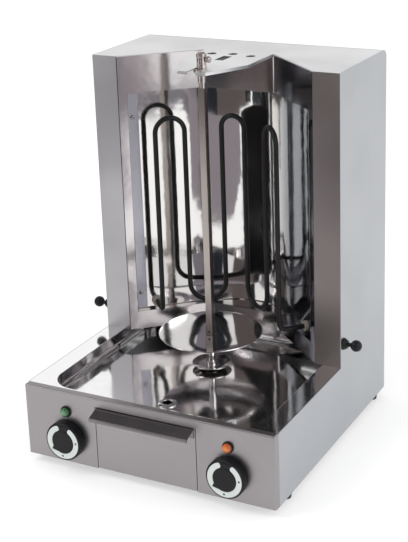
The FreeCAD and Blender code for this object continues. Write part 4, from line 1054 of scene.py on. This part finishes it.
@dataclass
class ClampScrews:
    """Ball headed screws at the foot of the hood sides."""

    y: float = 34 * MM
    z: float = 159 * MM

    def boss(self, side: Side) -> None:
        """Conical boss with a rounded rim and a bead."""
        outline = soft_outline([(3.05, 0, 0), (9, 0, 0.3), (9, 1.4, 0.6), (6.3, 5.8, 0.8), (6, 7, 0.5), (3.05, 7, 0.3)], 5)
        outline[:, 1] *= side.value
        boss = turned(f"clamp_boss_turned_{side.word}", outline, (side.value * SIDE, self.y, self.z), Axis.X, 56, tube=True)
        add(boss, BLACK_PLASTIC, "housing", f"clamp_boss_{side.word}")

    def build(self) -> None:
        """Conical boss and ball on both sides."""
        for side in Side:
            self.boss(side)
            dress(f"clamp_screw_{side.word}", BLACK_PLASTIC)


@dataclass
class CableInlet:
    """Gland in the back panel and the terminal block inside."""

    flats: int = 6
    ribs: int = 18

    def gland(self) -> None:
        """Gland with a hexagon body, a ribbed dome nut and its open bore."""
        flats, ribs = self.flats, self.ribs

        def shape(along: np.ndarray, angle: np.ndarray) -> np.ndarray:
            """Factor on the radius: a hexagon on the body, small ribs on the dome nut, 1 elsewhere."""
            turn = np.mod(angle, 2 * math.pi / flats) - math.pi / flats
            hexagon = math.cos(math.pi / flats) / np.cos(turn)
            body = (along > 0.4 * MM) & (along < 7.6 * MM)
            nut = (along > 10.4 * MM) & (along < 17.6 * MM)
            return np.where(body, hexagon, 1.0) - 0.03 * nut * (1 + np.cos(ribs * angle))

        outline = soft_outline([(4, -12, 0), (8, -12, 0.4), (8, 0, 0), (10.3, 0, 0.1), (12, 0.5, 0), (12, 7.5, 0),
                                (10.2, 8, 0.1), (10.2, 9.6, 0.2), (10.5, 10.5, 0.2), (10.5, 17.5, 0.2),
                                (9.9, 18.4, 0.6), (7, 22, 1.0), (4, 22, 0.4)], 4)
        gland = turned("cable_gland_body", outline, (KNOB_X, BACK, KNOB_Z), Axis.Y, 144, shape, tube=True)
        add(gland, BLACK_PLASTIC, "housing", "cable_gland")

    def build(self) -> None:
        """Plastic and ceramic of the inlet."""
        self.gland()
        dress("gland_nut", BLACK_PLASTIC)
        dress("terminal_block", CERAMIC)


@dataclass
class Studio:
    """White floor, soft light and the camera."""

    azimuth: float = 27.599
    elevation: float = 17.158
    roll: float = -1.7854
    eye: tuple[float, float, float] = (0.86336, -1.60400, 0.94918)
    focal_px: float = 1309.04
    middle_px: tuple[float, float] = (221.58, 186.0)
    frame_px: tuple[float, float] = (408.0, 542.0)
    floor_tone: float = 0.66
    floor_lift: float = 0.42
    sky: float = 0.9
    flag_y: float = -0.62
    front_flags: tuple[tuple[str, tuple[tuple[float, float], ...], Colour], ...] = (
        ("dark_flag", ((-0.52, 0.27), (-0.395, 0.27), (-0.395, 1.1), (-0.52, 1.1)), (0.015, 0.018, 0.022)),
        ("low_flag", ((-1.7, 0.03), (-1.14, 0.14), (-0.85, 0.2), (-0.56, 0.25), (-0.56, 0.31), (-0.85, 0.27),
                      (-1.14, 0.22), (-1.7, 0.12)), (0.02, 0.024, 0.03)),
        ("brown_flag", ((-0.395, 0.27), (0.09, 0.27), (0.09, 0.36), (-0.05, 0.36), (-0.05, 1.1), (-0.395, 1.1)),
         (0.12, 0.10, 0.098)),
        ("black_flag", ((0.09, 0.27), (0.31, 0.27), (0.31, 1.1), (0.09, 1.1)), (0.02, 0.024, 0.032)),
        ("grey_flag", ((-0.27, 0.13), (-0.12, 0.05), (0.10, 0.02), (0.68, 0.0), (0.68, 0.27), (-0.27, 0.27)),
         (0.29, 0.26, 0.285)),
        ("top_flag", ((0.31, 0.27), (0.68, 0.27), (0.68, 1.1), (0.31, 1.1)), (0.24, 0.22, 0.25)),
        ("shade_flag", ((0.68, 0.245), (0.81, 0.245), (0.78, 0.37), (0.68, 0.37)), (0.34, 0.30, 0.31)),
        ("band_flag", ((0.68, 0.185), (1.05, 0.185), (1.05, 0.245), (0.68, 0.245)), (0.19, 0.175, 0.20)))
    left_flag: tuple[float, tuple[float, float]] = (-0.5, (-0.26, 0.02))
    ceiling: tuple[tuple[float, float], tuple[float, float], float] = ((-0.9, 0.9), (-1.2, 0.9), 1.3)
    ceiling_tone: Colour = (0.20, 0.20, 0.20)
    dark: Colour = (0.03, 0.03, 0.03)

    def floor(self) -> None:
        """Pale floor far past the view, white for the camera except under the object's soft shadow."""
        wide = 30.0
        points = np.array([[-wide, -wide, 0], [wide, -wide, 0], [wide, wide, 0], [-wide, wide, 0]], float)
        mesh = bpy.data.meshes.new("studio_floor")
        mesh.from_pydata(points.tolist(), [], [[0, 1, 2, 3]])
        thing = bpy.data.objects.new("studio_floor", mesh)
        bpy.context.scene.collection.objects.link(thing)
        material = bpy.data.materials.new("studio_floor_white")
        material.use_nodes = True
        shader = material.node_tree.nodes["Principled BSDF"]
        shader.inputs["Base Color"].default_value = (self.floor_tone, self.floor_tone, self.floor_tone, 1)
        shader.inputs["Roughness"].default_value = 0.9
        shader.inputs["Specular IOR Level"].default_value = 0.0
        tree = material.node_tree
        lift = math_node(tree, "MULTIPLY", self.floor_lift)
        tree.links.new(self.seen_ray(tree), lift.inputs[0])
        shader.inputs["Emission Color"].default_value = (1, 1, 1, 1)
        tree.links.new(lift.outputs[0], shader.inputs["Emission Strength"])
        mesh.materials.append(material)

    def seen_ray(self, tree: bpy.types.NodeTree) -> bpy.types.NodeSocket:
        """1 for a camera ray and for what metal or a lens shows of the surroundings, 0 for light on the object."""
        path = tree.nodes.new("ShaderNodeLightPath")
        first = tree.nodes.new("ShaderNodeMath")
        first.operation = "MAXIMUM"
        both = tree.nodes.new("ShaderNodeMath")
        both.operation = "MAXIMUM"
        tree.links.new(path.outputs["Is Camera Ray"], first.inputs[0])
        tree.links.new(path.outputs["Is Glossy Ray"], first.inputs[1])
        tree.links.new(first.outputs[0], both.inputs[0])
        tree.links.new(path.outputs["Is Transmission Ray"], both.inputs[1])
        return both.outputs[0]

    def world(self) -> None:
        """White surroundings, and a slightly lower even light on the object."""
        world = bpy.data.worlds.new("studio_world")
        bpy.context.scene.world = world
        world.use_nodes = True
        tree = world.node_tree
        backdrop = tree.nodes["Background"]
        backdrop.inputs["Color"].default_value = (1, 1, 1, 1)
        strength = ranged(tree, 0.0, 1.0, self.sky, 1.0)
        tree.links.new(self.seen_ray(tree), strength.inputs["Value"])
        tree.links.new(strength.outputs["Result"], backdrop.inputs["Strength"])

    def flag(self, name: str, corners: tuple[tuple[float, float, float], ...], tone: Colour) -> None:
        """A dull card beside the view, which only polished metal shows.

        Args:
            name: name of the card.
            corners: its corners in metres, in order round it.
            tone: its colour.
        """
        mesh = bpy.data.meshes.new(name)
        mesh.from_pydata([list(corner) for corner in corners], [], [list(range(len(corners)))])
        thing = bpy.data.objects.new(name, mesh)
        bpy.context.scene.collection.objects.link(thing)
        for ray in ("camera", "diffuse", "shadow", "transmission", "volume_scatter"):
            setattr(thing, f"visible_{ray}", False)
        material = bpy.data.materials.new(name)
        material.use_nodes = True
        shader = material.node_tree.nodes["Principled BSDF"]
        shader.inputs["Base Color"].default_value = (0, 0, 0, 1)
        shader.inputs["Specular IOR Level"].default_value = 0.0
        shader.inputs["Emission Color"].default_value = (*tone, 1)
        shader.inputs["Emission Strength"].default_value = 1.0
        mesh.materials.append(material)

    def flags(self) -> None:
        """Cards that give the polished sheets their dark reflections, as in a studio that isn't white all round."""
        for name, outline, tone in self.front_flags:
            self.flag(name, tuple((x, self.flag_y, z) for x, z in outline), tone)
        x, (y0, y1) = self.left_flag
        self.flag("left_flag", ((x, y0, 0), (x, y1, 0), (x, y1, 0.9), (x, y0, 0.9)), self.dark)
        (x0, x1), (y0, y1), z = self.ceiling
        self.flag("ceiling_flag", ((x0, y0, z), (x1, y0, z), (x1, y1, z), (x0, y1, z)), self.ceiling_tone)

    def lamp(self, name: str, place: tuple[float, float, float], size: float, power: float) -> None:
        """A soft square light that looks at the middle of the grill."""
        data = bpy.data.lights.new(name, "AREA")
        data.size = size
        data.energy = power
        thing = bpy.data.objects.new(name, data)
        thing.location = place
        thing.rotation_euler = (Vector((0, 0, 0.25)) - Vector(place)).to_track_quat("-Z", "Y").to_euler()
        bpy.context.scene.collection.objects.link(thing)

    def camera(self) -> None:
        """Camera fitted to the photo's box edges: its turn, place, focal length and middle point."""
        a, e, r = (math.radians(v) for v in (self.azimuth, self.elevation, self.roll))
        back = Vector((math.sin(a) * math.cos(e), -math.cos(a) * math.cos(e), math.sin(e)))
        right = Vector((math.cos(a), math.sin(a), 0))
        up = back.cross(right)
        across = right * math.cos(r) + up * math.sin(r)
        upward = up * math.cos(r) - right * math.sin(r)
        turn = Matrix((across, upward, back)).transposed()
        data = bpy.data.cameras.new("photo_camera")
        data.sensor_fit = "HORIZONTAL"
        data.sensor_width = 36.0
        data.lens = self.focal_px * data.sensor_width / self.frame_px[0]
        data.shift_x = (self.frame_px[0] / 2 - self.middle_px[0]) / self.frame_px[0]
        data.shift_y = (self.middle_px[1] - self.frame_px[1] / 2) / self.frame_px[0]
        data.clip_start = 0.05
        data.clip_end = 100
        thing = bpy.data.objects.new("photo_camera", data)
        thing.matrix_world = Matrix.Translation(self.eye) @ turn.to_4x4()
        bpy.context.scene.collection.objects.link(thing)
        bpy.context.scene.camera = thing

    def build(self) -> None:
        """Camera, floor and light."""
        self.camera()
        self.floor()
        self.world()
        self.flags()
        self.lamp("key_light", (-1.6, -1.6, 2.6), 1.6, 26)
        self.lamp("side_light", (2.6, -0.6, 1.8), 1.4, 16)
        bpy.context.scene.view_settings.view_transform = "Standard"


def main() -> None:
    """Build every sub-assembly in order."""
    logging.basicConfig(level=logging.INFO, format="%(message)s")
    for part in (Studio(), Housing(), HeatingWell(), SpitDrive(), Tray(), Drawer(), Controls(), TopPin(),
                 ClampScrews(), CableInlet()):
        part.build()


if __name__ == "__main__":
    main()
